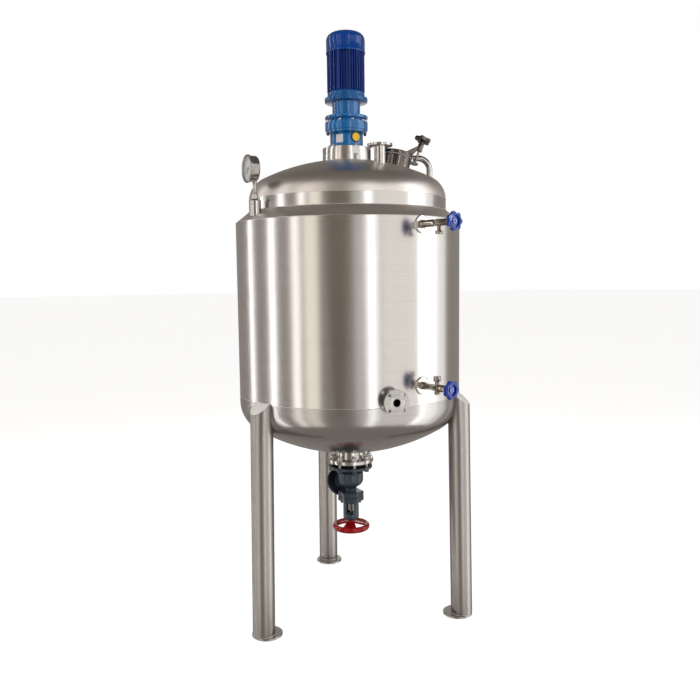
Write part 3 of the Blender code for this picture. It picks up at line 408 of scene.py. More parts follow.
foot_weld = weld_ring("jacket_foot_weld", JACKET_RADIUS - 0.0006, JACKET_FOOT - 0.0003, 0.0014)
set_down(foot_weld, AXIS)
foot_weld.data.materials.append(WELD)
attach(foot_weld, "tank")


# Jacket shoulder: a cone of the same sheet that closes the jacket against the vessel,
# welded at both of its edges and brushed like the wall.
SHOULDER_TOP = 2.165
VESSEL_RADIUS = 0.5275
shoulder = turn_piece("jacket_cone", [
    (0.600, 2.1083), (0.600, 2.1103), (0.5318, SHOULDER_TOP), (0.5278, SHOULDER_TOP),
    (0.5278, 2.1586), (0.596, 2.1083), (0.600, 2.1083),
], 160)
soften(shoulder, 0.0015, 2)
set_down(shoulder, AXIS)
DULL = new_finish(
    "dull_stainless", (0.93, 0.895, 0.86), (0.86, 0.827, 0.795), 0.30, 0.38, (1.5, 220), 1.8, 0.000004,
    metallic=1.0, sway=0.003,
)
shoulder.data.materials.append(DULL)
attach(shoulder, "tank")
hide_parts("jacket_shoulder")

shoulder_weld = weld_ring("shoulder_weld", VESSEL_RADIUS + 0.003, SHOULDER_TOP, 0.0022)
set_down(shoulder_weld, AXIS)
shoulder_weld.data.materials.append(WELD)
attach(shoulder_weld, "tank")


# Lower head: a dished end pressed from thicker sheet, with a short straight rim that is
# welded to the jacket wall and a hole in the middle for the outlet.
def bend(centre_radius, centre_height, radius, start, end, count):
    """Points along an arc, from one angle to another."""
    points = []
    for i in range(count + 1):
        turn = math.radians(start + (end - start) * i / count)
        points.append((centre_radius + radius * math.cos(turn), centre_height + radius * math.sin(turn)))
    return points


def dished_line(radius, knuckle, crown, hole):
    """Outer line of a dished end above its rim, from the rim in to a hole."""
    centre = radius - knuckle
    drop = math.sqrt((crown - knuckle) ** 2 - centre ** 2)
    meet = math.degrees(math.atan2(drop, centre))
    edge = math.degrees(math.acos(hole / crown))
    return bend(centre, 0, knuckle, 0, meet, 10) + bend(0, -drop, crown, meet, edge, 10)[1:]


def dished_end(name, radius, knuckle, crown, wall, hole, straight, rim_height, up):
    """A dished end with its wall and straight rim, apex up or down from its rim's line."""
    outer = dished_line(radius, knuckle, crown, hole)
    inner = dished_line(radius - wall, knuckle - wall, crown - wall, hole)
    profile = [(radius, -straight)] + outer + inner[::-1] + [(radius - wall, -straight), (radius, -straight)]
    side = 1 if up else -1
    profile = [(r, rim_height + side * z) for r, z in profile]
    return turn_piece(name, profile, 160)


lower_head = dished_end("lower_dished_end", 0.600, 0.160, 0.990, 0.005, 0.0813, 0.040, 1.156, False)
soften(lower_head, 0)
set_down(lower_head, AXIS)
# Painted shade: a darker copy of the stainless for the lower head, standing in for the shade under the tank.
SHADED = new_finish(
    "shaded_pressed_stainless", (0.53, 0.515, 0.50), (0.47, 0.457, 0.443), 0.20, 0.27, (1.5, 200), 1.3, 0.000003,
    metallic=1.0, sway=0.004,
)
lower_head.data.materials.append(SHADED)
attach(lower_head, "tank")
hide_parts("jacket_bottom_head")


# Vessel: the inner pot, of which a short band of wall shows above the shoulder, and its
# dished top with the holes for the nozzle and the manway. Its floor is hidden inside.
VESSEL_RIM = 2.227
NOZZLE_AZIMUTH = 18.1
NOZZLE_DISTANCE = 0.3145
MANWAY_AZIMUTH = 98.0
MANWAY_DISTANCE = 0.281
MANWAY_TILT = 12.5
MANWAY_NECK = 0.0795


def dome_height(distance):
    """Height of the top head's outer face at a distance from the axis, on its crown."""
    drop = math.sqrt((1.050 - 0.120) ** 2 - (VESSEL_RADIUS - 0.120) ** 2)
    return VESSEL_RIM + math.sqrt(1.050 ** 2 - distance ** 2) - drop


vessel = turn_piece("vessel_wall", [
    (VESSEL_RADIUS, 1.2003), (VESSEL_RADIUS, VESSEL_RIM - 0.0003), (VESSEL_RADIUS - 0.005, VESSEL_RIM - 0.0003),
    (VESSEL_RADIUS - 0.005, 1.2003), (VESSEL_RADIUS, 1.2003),
], 160)
soften(vessel, 0)
set_down(vessel, AXIS)
vessel.data.materials.append(BRUSHED)
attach(vessel, "tank")
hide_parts("vessel_shell")

dome = dished_end("top_dished_end", VESSEL_RADIUS, 0.120, 1.050, 0.005, 0.1293, 0.0, VESSEL_RIM, True)
soften(dome, 0)
set_down(dome, AXIS)
MANWAY = placed(
    outward(MANWAY_AZIMUTH, MANWAY_DISTANCE, dome_height(MANWAY_DISTANCE)),
    (math.radians(MANWAY_TILT), 0, math.radians(MANWAY_AZIMUTH)),
)
NOZZLE = placed(outward(NOZZLE_AZIMUTH, NOZZLE_DISTANCE, 0), (0, 0, math.radians(NOZZLE_AZIMUTH)))
manway_hole = turn_piece("manway_hole", [(MANWAY_NECK + 0.0003, -0.05), (MANWAY_NECK + 0.0003, 0.05)], 64)
set_down(manway_hole, MANWAY)
cut_out(dome, manway_hole)
nozzle_hole = turn_piece("nozzle_hole", [(0.0288, 2.30), (0.0288, 2.45)], 48)
set_down(nozzle_hole, NOZZLE)
cut_out(dome, nozzle_hole)
soften(dome, 0)
DOME_STEEL = new_finish(
    "dome_stainless", (0.80, 0.762, 0.725), (0.73, 0.695, 0.661), 0.32, 0.39, (5, 12), 1.0, 0.000002,
    metallic=1.0, sway=0.002,
)
dome.data.materials.clear()
dome.data.materials.append(DOME_STEEL)
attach(dome, "tank")
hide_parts("top_head")

rim_weld = weld_ring("vessel_rim_weld", VESSEL_RADIUS - 0.0004, VESSEL_RIM, 0.0012)
set_down(rim_weld, AXIS)
rim_weld.data.materials.append(WELD)
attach(rim_weld, "tank")

for node in ("vessel_bottom", "agitator"):
    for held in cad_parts[node].material_slots:
        held.material = DULL


# Motor ring: a turned and polished stool, welded through the dome, that the gear motor is
# bolted down on. Six small hexagon bolts go round its top outside the motor's flange.
RING_TOP = 2.505
POLISHED = new_finish(
    "polished_stainless", (0.64, 0.615, 0.595), (0.52, 0.50, 0.48), 0.12, 0.20, (20, 420), 8, 0.000004,
    metallic=1.0, sway=0.0008,
)
BOLT_STEEL = new_finish(
    "bolt_stainless", (0.66, 0.65, 0.63), (0.45, 0.44, 0.42), 0.18, 0.34, (300, 300), 60, 0.00005, metallic=1.0,
)


def hex_bolt(name, across, head, washer=0.0):
    """A hexagon head with its washer under it, standing on Z 0."""
    half = across / math.sqrt(3)
    bolt = turn_piece(name, [
        (half, washer), (half, washer + head * 0.8), (half * 0.86, washer + head), (half * 0.3, washer + head),
    ], 6)
    soften(bolt, 0.0004, 1)
    if washer:
        plate = turn_piece(name + "_washer", [(half * 1.15, 0), (half * 1.15, washer), (half * 0.4, washer)], 20)
        soften(plate, 0)
        bolt = put_together(name, bolt, plate)
    return bolt


def ring_of(name, sample, places):
    """Copies of one piece at several places, each with its own mesh, made one piece."""
    copies = []
    for place in places:
        choose(sample)
        bpy.ops.object.duplicate(linked=False)
        copy = bpy.context.object
        set_down(copy, place)
        copies.append(copy)
    bpy.data.objects.remove(sample, do_unlink=True)
    return put_together(name, *copies)


def round_axis(radius, height, count, first=0.0, flip=False):
    """Places round the tank's axis at one height, facing up or turned over."""
    places = []
    for i in range(count):
        turn = math.radians(first + 360 * i / count)
        spot = AXIS @ Vector((radius * math.sin(turn), -radius * math.cos(turn), height))
        places.append(placed(spot, (math.pi if flip else 0, 0, turn)))
    return places


stool = turn_piece("motor_stool", [
    (0.129, 2.424), (0.129, RING_TOP), (0.024, RING_TOP), (0.024, RING_TOP - 0.016), (0.115, RING_TOP - 0.016),
    (0.115, 2.424), (0.129, 2.424),
], 128)
soften(stool, 0.0014, 2)
set_down(stool, AXIS)
stool.data.materials.append(BRUSHED)
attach(stool, "tank")
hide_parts("motor_ring")

stool_weld = weld_ring("stool_weld", 0.1292, 2.4335, 0.0024, 96)
set_down(stool_weld, AXIS)
stool_weld.data.materials.append(WELD)
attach(stool_weld, "tank")

stool_bolts = ring_of(
    "stool_bolts", hex_bolt("stool_bolt", 0.013, 0.0075, 0.0015), round_axis(0.1165, RING_TOP, 6, -50),
)
stool_bolts.data.materials.append(BOLT_STEEL)
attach(stool_bolts, "tank")


# Gearbox: three iron castings bolted on each other, sprayed a bright blue. The low one has
# a blank pale plate and a round yellow plug cover, the wide one carries bolts above and below.
GEAR_BLUE = new_finish(
    "gearbox_paint", (0.002, 0.165, 0.460), (0.001, 0.108, 0.320), 0.14, 0.26, (90, 90), 14, 0.00006, coat=1.0,
)
PALE_PLATE = new_finish(
    "pale_plate", (0.78, 0.76, 0.74), (0.66, 0.64, 0.62), 0.35, 0.5, (200, 200), 30, 0.00002, coat=0.2,
)
YELLOW = new_finish(
    "yellow_paint", (0.92, 0.62, 0.01), (0.80, 0.50, 0.0), 0.25, 0.40, (90, 90), 40, 0.00004, coat=0.4,
)
DARK_BLUE = new_finish(
    "dark_blue_paint", (0.012, 0.045, 0.115), (0.008, 0.028, 0.080), 0.25, 0.4, (90, 90), 20, 0.00006, coat=0.4,
)

housing = turn_piece("output_casting", [
    (0.105, RING_TOP + 0.0003), (0.105, 2.512), (0.0905, 2.513), (0.0885, 2.516), (0.088, 2.520),
    (0.088, 2.583),
], 112)
soften(housing, 0.0012, 2)
set_down(housing, AXIS)
housing.data.materials.append(GEAR_BLUE)
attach(housing, "tank")
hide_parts("gearbox_housing")

flange_bolts = ring_of(
    "base_flange_bolts", hex_bolt("base_flange_bolt", 0.010, 0.006), round_axis(0.0975, 2.512, 6, -20),
)
flange_bolts.data.materials.append(GEAR_BLUE)
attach(flange_bolts, "tank")

wide_ring = turn_piece("wide_gear_casting", [
    (0.109, 2.5833), (0.109, 2.596), (0.114, 2.596), (0.114, 2.640), (0.098, 2.640), (0.098, 2.655),
], 112)
soften(wide_ring, 0.0015, 2)
set_down(wide_ring, AXIS)
wide_ring.data.materials.append(GEAR_BLUE)
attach(wide_ring, "tank")
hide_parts("ring_gear_housing")

under_bolts = ring_of(
    "under_ring_bolts", hex_bolt("under_ring_bolt", 0.013, 0.0085), round_axis(0.1, 2.5833, 8, -6, flip=True),
)
under_bolts.data.materials.append(DARK_BLUE)
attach(under_bolts, "tank")

gap_bolts = ring_of(
    "gap_bolts", hex_bolt("gap_bolt", 0.012, 0.009), round_axis(0.1055, 2.640, 10, -32),
)
gap_bolts.data.materials.append(BOLT_STEEL)
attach(gap_bolts, "tank")

neck = turn_piece("gearbox_cover", [
    (0.114, 2.6553), (0.114, 2.671), (0.080, 2.6715), (0.0762, 2.674), (0.0742, 2.679), (0.0742, 2.738),
    (0.0765, 2.743), (0.0765, 2.745),
], 112)
soften(neck, 0.0014, 2)
set_down(neck, AXIS)
neck.data.materials.append(GEAR_BLUE)
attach(neck, "tank")
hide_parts("gearbox_neck")

plate_place = placed(outward(-39.0, 0.0872, 2.5485), (POINT_OUT, 0, math.radians(-39.0)))
bpy.ops.object.select_all(action="DESELECT")
bpy.ops.mesh.primitive_cube_add(size=1, location=(0, 0, 0))
plate = bpy.context.object
plate.name = "pale_plate"
plate.scale = (0.040, 0.042, 0.0012)
bpy.ops.object.transform_apply(scale=True)
bpy.ops.object.mode_set(mode="EDIT")
bpy.ops.mesh.select_all(action="SELECT")
bpy.ops.mesh.bisect(plane_co=(-0.010, 0, 0), plane_no=(1, 0, 0))
bpy.ops.mesh.select_all(action="SELECT")
bpy.ops.mesh.bisect(plane_co=(0, 0, 0), plane_no=(1, 0, 0))
bpy.ops.mesh.select_all(action="SELECT")
bpy.ops.mesh.bisect(plane_co=(0.010, 0, 0), plane_no=(1, 0, 0))
bpy.ops.object.mode_set(mode="OBJECT")
for corner in plate.data.vertices:
    corner.co.z += math.sqrt(0.0885 ** 2 - corner.co.x ** 2) - 0.0872
soften(plate, 0.0003, 1)
set_down(plate, plate_place)
plate.data.materials.append(PALE_PLATE)
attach(plate, "tank")

cover_place = placed(outward(19.0, 0.0, 2.5560), (POINT_OUT, 0, math.radians(19.0)))
surround = turn_piece("plug_surround", [(0.0275, 0.078), (0.0275, 0.0888), (0.0245, 0.0905), (0.012, 0.0905)], 48)
soften(surround, 0.0006, 2)
set_down(surround, cover_place)
surround.data.materials.append(DARK_BLUE)
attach(surround, "tank")
disc = turn_piece("yellow_disc", [
    (0.0225, 0.0903), (0.0225, 0.0920), (0.0205, 0.0932), (0.0085, 0.0928), (0.0065, 0.0922),
], 48)
soften(disc, 0.0003, 1)
set_down(disc, cover_place)
disc.data.materials.append(YELLOW)
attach(disc, "tank")


# Motor: an end shield with a wide flange, a cast body with cooling fins and four wider
# ribs, and a pressed fan cowl slipped over its top. The body is navy, the cowl a mid blue.
MOTOR_NAVY = new_finish(
    "motor_paint", (0.003, 0.033, 0.235), (0.002, 0.021, 0.165), 0.26, 0.40, (80, 80), 12, 0.00006, coat=0.3,
)
SHIELD_BLUE = new_finish(
    "shield_paint", (0.006, 0.108, 0.335), (0.003, 0.074, 0.245), 0.24, 0.38, (80, 80), 12, 0.00006, coat=0.4,
)
COWL_BLUE = new_finish(
    "cowl_paint", (0.001, 0.052, 0.285), (0.001, 0.042, 0.230), 0.12, 0.20, (40, 40), 6, 0.00001, coat=0.5,
    sway=0.0006,
)
FINS = 43
FIN_ROOT = 0.087

shield = turn_piece("end_shield", [
    (0.114, 2.7453), (0.114, 2.766), (0.0995, 2.767), (0.099, 2.769), (0.099, 2.786), (0.096, 2.797),
], 112)
soften(shield, 0.0015, 2)
set_down(shield, AXIS)
shield.data.materials.append(SHIELD_BLUE)
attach(shield, "tank")
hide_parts("motor_end_shield")

shield_bolts = ring_of(
    "shield_bolts", hex_bolt("shield_bolt", 0.011, 0.007), round_axis(0.1075, 2.766, 4, -60),
)
shield_bolts.data.materials.append(DARK_BLUE)
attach(shield_bolts, "tank")

body = turn_piece("finned_body", [(FIN_ROOT, 2.7973), (FIN_ROOT, 3.000)], FINS * 2)
choose(body)
bpy.ops.object.mode_set(mode="EDIT")
bpy.ops.mesh.select_mode(type="FACE")
bpy.ops.mesh.select_all(action="DESELECT")
bpy.ops.object.mode_set(mode="OBJECT")
sides = [f for f in body.data.polygons if abs(f.normal.z) < 0.1]
sides.sort(key=lambda f: math.atan2(f.center.y, f.center.x))
for number, face in enumerate(sides):
    azimuth = math.degrees(math.atan2(face.center.x, -face.center.y))
    from_rib = (azimuth + 36.6 + 45) % 90 - 45
    face.select = number % 2 == 0 or abs(from_rib) < 4.0
bpy.ops.object.mode_set(mode="EDIT")
bpy.ops.mesh.inset(thickness=0.0011, depth=0.0130, use_individual=True)
bpy.ops.mesh.select_mode(type="VERT")
bpy.ops.object.mode_set(mode="OBJECT")
soften(body, 0.0005, 1)
set_down(body, AXIS)
body.data.materials.append(MOTOR_NAVY)
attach(body, "tank")
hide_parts("motor_body")

rib_stock = []
for i in range(4):
    turn = math.radians(-36.6 + 90 * i)
    rib = turn_piece("wide_rib", [(0.0115, 2.7975), (0.0115, 2.9990)], 4)
    choose(rib)
    rib.rotation_euler = (0, 0, math.radians(45))
    bpy.ops.object.transform_apply(rotation=True)
    rib.scale = (1.0, 0.75, 1.0)
    bpy.ops.object.transform_apply(scale=True)
    soften(rib, 0.0012, 2)
    set_down(rib, placed(outward(math.degrees(turn), 0.0930, 0), (0, 0, turn)))
    rib_stock.append(rib)
ribs = put_together("wide_ribs", *rib_stock)
ribs.data.materials.append(MOTOR_NAVY)
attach(ribs, "tank")

cowl = turn_piece("fan_cover", [
    (0.1003, 2.996), (0.1040, 2.996), (0.1040, 3.005), (0.1028, 3.007), (0.1028, 3.063),
] + bend(0.0640, 3.063, 0.0388, 0, 82, 8)[1:] + [
    (0.056, 3.1022), (0.055, 3.1006), (0.050, 3.1006), (0.049, 3.1026), (0.041, 3.1028), (0.040, 3.1010),
    (0.035, 3.1010), (0.034, 3.1029), (0.026, 3.1029), (0.025, 3.1011), (0.020, 3.1011), (0.019, 3.1030),
], 128)
soften(cowl, 0.0005, 1)
set_down(cowl, AXIS)
cowl.data.materials.append(COWL_BLUE)
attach(cowl, "tank")
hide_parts("fan_cowl")


# Small nozzle on the dome: a short tube with a flange, turned from bar and polished, with
# four bolt holes and a raised face. It is welded into its hole.
# Painted shade: a dark copy of the polished stainless for the manway's collar, ears, pin, lug, lid and its fittings.
SHADED_FITTING_STEEL = new_finish(
    "fitting_stainless_painted_shade", (0.22, 0.192, 0.170), (0.11, 0.096, 0.086), 0.08, 0.15, (60, 60), 10, 0.000006,
    metallic=1.0,
)
nozzle = turn_piece("dome_nozzle", [
    (0.0255, 2.372), (0.0285, 2.372), (0.0285, 2.4690), (0.0300, 2.4718), (0.0635, 2.472), (0.0635, 2.4838),
    (0.0440, 2.4838), (0.0435, 2.485), (0.0255, 2.485), (0.0255, 2.372),
], 80)
soften(nozzle, 0.0009, 2)
set_down(nozzle, NOZZLE)
for i in range(4):
    turn = math.radians(45 + 90 * i)
    hole = turn_piece("flange_hole", [(0.007, 2.46), (0.007, 2.50)], 24)
    set_down(hole, NOZZLE @ Matrix.Translation((0.04826 * math.cos(turn), 0.04826 * math.sin(turn), 0)))
    cut_out(nozzle, hole)
soften(nozzle, 0)
nozzle.data.materials.clear()
nozzle.data.materials.append(POLISHED)
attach(nozzle, "tank")
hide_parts("top_nozzle")

nozzle_weld = weld_ring("dome_nozzle_weld", 0.0290, dome_height(NOZZLE_DISTANCE), 0.0025, 48)
choose(nozzle_weld)
for corner in nozzle_weld.data.vertices:
    corner.co.z -= 0.315 * -corner.co.y
set_down(nozzle_weld, NOZZLE)
nozzle_weld.data.materials.append(WELD)
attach(nozzle_weld, "tank")


# Manway neck: a rolled and polished collar with a flat rim, leaning with the dome. Two ears
# with a pin carry the lid at its inner side, and a slotted lug takes the clamp screw.
LID_FOOT = 0.0803
LID_TOP = 0.1003
HINGE_REACH = 0.104
HINGE_HEIGHT = 0.0903
CLAMP_REACH = 0.1145
HINGE = MANWAY @ Matrix.Translation((0, HINGE_REACH, HINGE_HEIGHT))
CLAMP = HINGE @ placed((0, -HINGE_REACH - CLAMP_REACH, LID_FOOT - HINGE_HEIGHT), (math.radians(9.5), 0, 0))
UPRIGHT = Euler((math.radians(90), 0, math.radians(90))).to_matrix().to_4x4()
ACROSS = Euler((0, math.radians(90), 0)).to_matrix().to_4x4()


def draw_plate(name, outline, thickness):
    """Draw an outline corner by corner, fill it and pull it up to its thickness, half each way."""
    bpy.ops.object.select_all(action="DESELECT")
    bpy.ops.mesh.primitive_plane_add(size=0.01)
    piece = bpy.context.object
    piece.name = name
    piece.data.name = name
    bpy.ops.object.mode_set(mode="EDIT")
    bpy.ops.mesh.select_all(action="SELECT")
    bpy.ops.mesh.merge(type="CENTER")
    x, y = outline[0]
    bpy.ops.transform.translate(value=(x, y, -thickness / 2))
    for next_x, next_y in outline[1:]:
        bpy.ops.mesh.extrude_vertices_move(TRANSFORM_OT_translate={"value": (next_x - x, next_y - y, 0)})
        x, y = next_x, next_y
    bpy.ops.mesh.select_all(action="SELECT")
    bpy.ops.mesh.edge_face_add()
    bpy.ops.mesh.extrude_region_move(TRANSFORM_OT_translate={"value": (0, 0, thickness)})
    bpy.ops.mesh.select_all(action="SELECT")
    bpy.ops.mesh.normals_make_consistent(inside=False)
    bpy.ops.object.mode_set(mode="OBJECT")
    return piece


collar = turn_piece("manway_collar", [
    (0.0755, -0.016), (0.0795, -0.016), (0.0795, 0.0700), (0.0805, 0.0727), (0.0830, 0.0727), (0.0830, 0.0767),
    (0.0755, 0.0767), (0.0755, -0.016),
], 96)
soften(collar, 0.0008, 2)
set_down(collar, MANWAY)
fittings = [collar]
ear_line = [(0.0730, 0.0467), (0.110, 0.0747)] + [
    (HINGE_REACH + 0.012 * math.cos(math.radians(a)), HINGE_HEIGHT + 0.012 * math.sin(math.radians(a)))
    for a in range(-20, 201, 20)
] + [(0.092, 0.0737), (0.0730, 0.0717)]
for side in (-0.024, 0.024):
    ear = draw_plate("hinge_ear", ear_line, 0.007)
    soften(ear, 0.0008, 2)
    set_down(ear, MANWAY @ Matrix.Translation((side, 0, 0)) @ UPRIGHT)
    fittings.append(ear)
pin = turn_piece("hinge_pin", [
    (0.0045, -0.0315), (0.005, -0.0305), (0.005, 0.0275), (0.0078, 0.0277), (0.0078, 0.0305), (0.0062, 0.0315),
], 32)
soften(pin, 0)
set_down(pin, MANWAY @ Matrix.Translation((0, HINGE_REACH, HINGE_HEIGHT)) @ ACROSS)
fittings.append(pin)
lug = draw_plate("clamp_lug", [(-0.016, -0.129), (0.016, -0.129), (0.016, -0.0775), (-0.016, -0.0775)], 0.013)
soften(lug, 0.001, 2)
set_down(lug, MANWAY @ Matrix.Translation((0, 0, LID_FOOT - 0.0125)))
lug_hole = turn_piece("lug_hole", [(0.0105, -0.06), (0.0105, 0.0)], 32)
set_down(lug_hole, CLAMP)
cut_out(lug, lug_hole)
soften(lug, 0)
fittings.append(lug)
neck_fittings = put_together("manway_collar", *fittings)
neck_fittings.data.materials.clear()
neck_fittings.data.materials.append(SHADED_FITTING_STEEL)
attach(neck_fittings, "tank")
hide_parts("manway_neck")

collar_weld = weld_ring("collar_weld", 0.0800, 0.0006, 0.0026, 64)
set_down(collar_weld, MANWAY)
collar_weld.data.materials.append(WELD)
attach(collar_weld, "tank")

GASKET_PALE = new_finish(
    "pale_rubber", (0.74, 0.74, 0.72), (0.60, 0.60, 0.58), 0.5, 0.65, (120, 120), 20, 0.00004,
)
seal = turn_piece("manway_seal", [
    (0.0757, 0.0770), (0.0822, 0.0770), (0.0830, 0.0778), (0.0830, 0.0792), (0.0822, 0.0800), (0.0757, 0.0800),
    (0.0757, 0.0770),
], 96)
soften(seal, 0)
set_down(seal, MANWAY)
seal.data.materials.append(GASKET_PALE)
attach(seal, "tank")
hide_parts("manway_gasket")


# Manway lid: a thick turned cover, polished, with its hinge arm and knuckle welded across it.
# A slanting gusset at its outer side holds the threaded sleeve that the clamp screw runs in.
LID = HINGE @ Matrix.Translation((0, -HINGE_REACH, -HINGE_HEIGHT))
cover = turn_piece("lid_cover", [
    (0.084, LID_FOOT), (0.086, LID_FOOT + 0.002), (0.086, LID_TOP - 0.0045), (0.0845, LID_TOP - 0.002),
    (0.083, LID_TOP - 0.001), (0.062, LID_TOP + 0.0003), (0.047, LID_TOP + 0.001), (0.020, LID_TOP + 0.002),
], 96)
soften(cover, 0.0006, 2)
set_down(cover, LID)
lid_parts = [cover]
arm = draw_plate("hinge_arm", [(-0.0110, -0.104), (0.0110, -0.104), (0.0110, 0.0), (-0.0110, 0.0)], 0.0150)
soften(arm, 0.0012, 2)
set_down(arm, HINGE @ Matrix.Translation((0, 0, 0.0085)))
pin_bore = turn_piece("pin_bore", [(0.0056, -0.05), (0.0056, 0.05)], 32)
set_down(pin_bore, HINGE @ ACROSS)
cut_out(arm, pin_bore)
lid_parts.append(arm)
knuckle = turn_piece("lid_knuckle", [
    (0.0056, -0.0198), (0.012, -0.0198), (0.012, 0.0198), (0.0056, 0.0198), (0.0056, -0.0198),
], 40)
soften(knuckle, 0.0007, 2)
set_down(knuckle, HINGE @ ACROSS)
lid_parts.append(knuckle)
gusset = draw_plate("gusset", [
    (-0.024, LID_TOP + 0.002), (-0.118, LID_FOOT + 0.094), (-0.114, LID_FOOT + 0.066),
    (-0.082, LID_TOP - 0.004), (-0.024, LID_TOP - 0.004),
], 0.008)
soften(gusset, 0.001, 2)
set_down(gusset, LID @ UPRIGHT)
screw_room = turn_piece("screw_room", [(0.0074, 0.05), (0.0074, 0.116)], 32)
set_down(screw_room, CLAMP)
cut_out(gusset, screw_room)
lid_parts.append(gusset)
sleeve = turn_piece("screw_sleeve", [
    (0.0073, 0.063), (0.016, 0.063), (0.016, 0.103), (0.0073, 0.103), (0.0073, 0.063),
], 48)
soften(sleeve, 0.0009, 2)
set_down(sleeve, CLAMP)
lid_parts.append(sleeve)
lid = put_together("lid_cover", *lid_parts)
lid.data.materials.clear()
lid.data.materials.append(SHADED_FITTING_STEEL)
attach(lid, "manway_lid")
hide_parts("manway_lid")


# Clamp: a stainless screw with a rolled thread and a five lobed star grip on its top, cast
# and polished, that presses the lid down on its seal.
thread = [(0.0048, -0.018), (0.0062, -0.0155)]
for i in range(38):
    rise = -0.0145 + i * 0.002
    thread += [(0.0056, rise), (0.0065, rise + 0.001)]
thread += [(0.0062, 0.0640), (0.0062, 0.129), (0.0052, 0.130)]
screw = turn_piece("threaded_screw", thread, 24)
soften(screw, 0)
set_down(screw, CLAMP)
screw.data.materials.append(BOLT_STEEL)
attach(screw, "clamp")
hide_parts("clamp_screw")

lobes = []
for i in range(60):
    turn = math.tau * i / 60
    reach = 0.047 * (0.86 + 0.14 * math.cos(5 * turn))
    lobes.append((reach * math.cos(turn), reach * math.sin(turn)))
grip = draw_plate("star_grip", lobes, 0.022)
soften(grip, 0.005, 4)
set_down(grip, CLAMP @ Matrix.Translation((0, 0, 0.131)))
hub = turn_piece("star_boss", [
    (0.0068, 0.1033), (0.0135, 0.1033), (0.015, 0.105), (0.015, 0.1330), (0.0068, 0.1330), (0.0068, 0.1033),
], 40)
soften(hub, 0)
set_down(hub, CLAMP)
grip_room = turn_piece("grip_room", [(0.0068, 0.09), (0.0068, 0.1303)], 32)
set_down(grip_room, CLAMP)
cut_out(grip, grip_room)
star = put_together("star_grip", grip, hub)
# Painted shade: a dark copy of the polished stainless for the star grip.
SHADED_POLISH = new_finish(
    "polished_stainless_painted_shade", (0.15, 0.143, 0.136), (0.08, 0.076, 0.072), 0.12, 0.24, (120, 120), 14, 0.00001,
    metallic=1.0,
)
star.data.materials.clear()
star.data.materials.append(SHADED_POLISH)
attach(star, "clamp")
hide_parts("star_handwheel")


# Vent pipe: a polished tube welded upright on the dome, bent level towards the manway and
# left open at its end.
PIPE_RADIUS = 0.01685
bend_foot = 2.417
PIPE = placed(outward(99.1, 0.504, 0), (0, 0, math.radians(76.2)))
bpy.ops.object.select_all(action="DESELECT")
bpy.ops.mesh.primitive_circle_add(vertices=40, radius=PIPE_RADIUS)
pipe = bpy.context.object
pipe.name = "bent_pipe"
bpy.ops.object.mode_set(mode="EDIT")
bpy.ops.mesh.select_all(action="SELECT")
bpy.ops.transform.translate(value=(0, 0, 2.262))
bpy.ops.mesh.extrude_edges_move(TRANSFORM_OT_translate={"value": (0, 0, bend_foot - 2.262)})
bpy.ops.mesh.spin(steps=18, angle=math.radians(90), center=(0, 0.0645, bend_foot), axis=(1, 0, 0))
bpy.ops.mesh.extrude_edges_move(TRANSFORM_OT_translate={"value": (0, 0.028, 0)})
bpy.ops.mesh.select_all(action="SELECT")
bpy.ops.mesh.remove_doubles(threshold=0.00003)
bpy.ops.mesh.normals_make_consistent(inside=False)
bpy.ops.object.mode_set(mode="OBJECT")
wall = pipe.modifiers.new("wall", "SOLIDIFY")
wall.thickness = 0.0028
wall.offset = -1
bpy.ops.object.modifier_apply(modifier="wall")
soften(pipe, 0.0006, 1)
set_down(pipe, PIPE)
pipe.data.materials.append(POLISHED)
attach(pipe, "tank")
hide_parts("vent_pipe")


# Gauge: a socket welded into the shoulder, a stem with its hexagon, and a round steel case
# with a rolled rim, a pale dial with plain marks, a dark pointer and a flat glass.
GAUGE_AZIMUTH = -66.6
STEM = placed(outward(GAUGE_AZIMUTH, 0.572, 0), (0, 0, math.radians(GAUGE_AZIMUTH)))
GAUGE = placed(outward(GAUGE_AZIMUTH, 0.572, 2.356), (POINT_OUT, 0, math.radians(-76.0)))

socket = turn_piece("gauge_socket_turned", [
    (0.0265, 2.1275), (0.0265, 2.134), (0.0285, 2.138), (0.0285, 2.203), (0.0225, 2.209), (0.0105, 2.209),
], 64)
soften(socket, 0.0009, 2)
set_down(socket, STEM)
socket.data.materials.append(POLISHED)
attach(socket, "tank")
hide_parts("gauge_socket")

stem_rod = turn_piece("gauge_stem_rod", [
    (0.0105, 2.230), (0.0105, 2.2395), (0.0090, 2.2415), (0.0090, 2.2520), (0.0105, 2.2540), (0.0105, 2.300),
], 32)
soften(stem_rod, 0.0005, 2)
hexagon = turn_piece("gauge_hexagon", [
    (0.0160, 2.2093), (0.0176, 2.211), (0.0176, 2.2335), (0.0155, 2.236), (0.0105, 2.236),
], 6)
soften(hexagon, 0.0006, 1)
gauge_stem = put_together("gauge_stem_turned", stem_rod, hexagon)
set_down(gauge_stem, STEM)
gauge_stem.data.materials.append(BOLT_STEEL)
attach(gauge_stem, "tank")
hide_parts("gauge_stem")

case = turn_piece("gauge_case_pressed", [
    (0.004, -0.0100), (0.0545, -0.0100), (0.0600, -0.0075), (0.0635, -0.002), (0.0635, 0.0305), (0.0655, 0.0325),
    (0.0685, 0.0335), (0.0685, 0.0385), (0.0672, 0.0420), (0.0650, 0.0430), (0.0605, 0.0425), (0.0600, 0.0365),
    (0.0605, 0.0290), (0.004, 0.0290),
], 96)
soften(case, 0.0005, 2)
set_down(case, GAUGE)
case.data.materials.append(new_finish(
    "case_stainless", (0.52, 0.50, 0.48), (0.36, 0.345, 0.33), 0.12, 0.22, (120, 120), 12, 0.00001, metallic=1.0,
))
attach(case, "tank")
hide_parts("gauge_case")

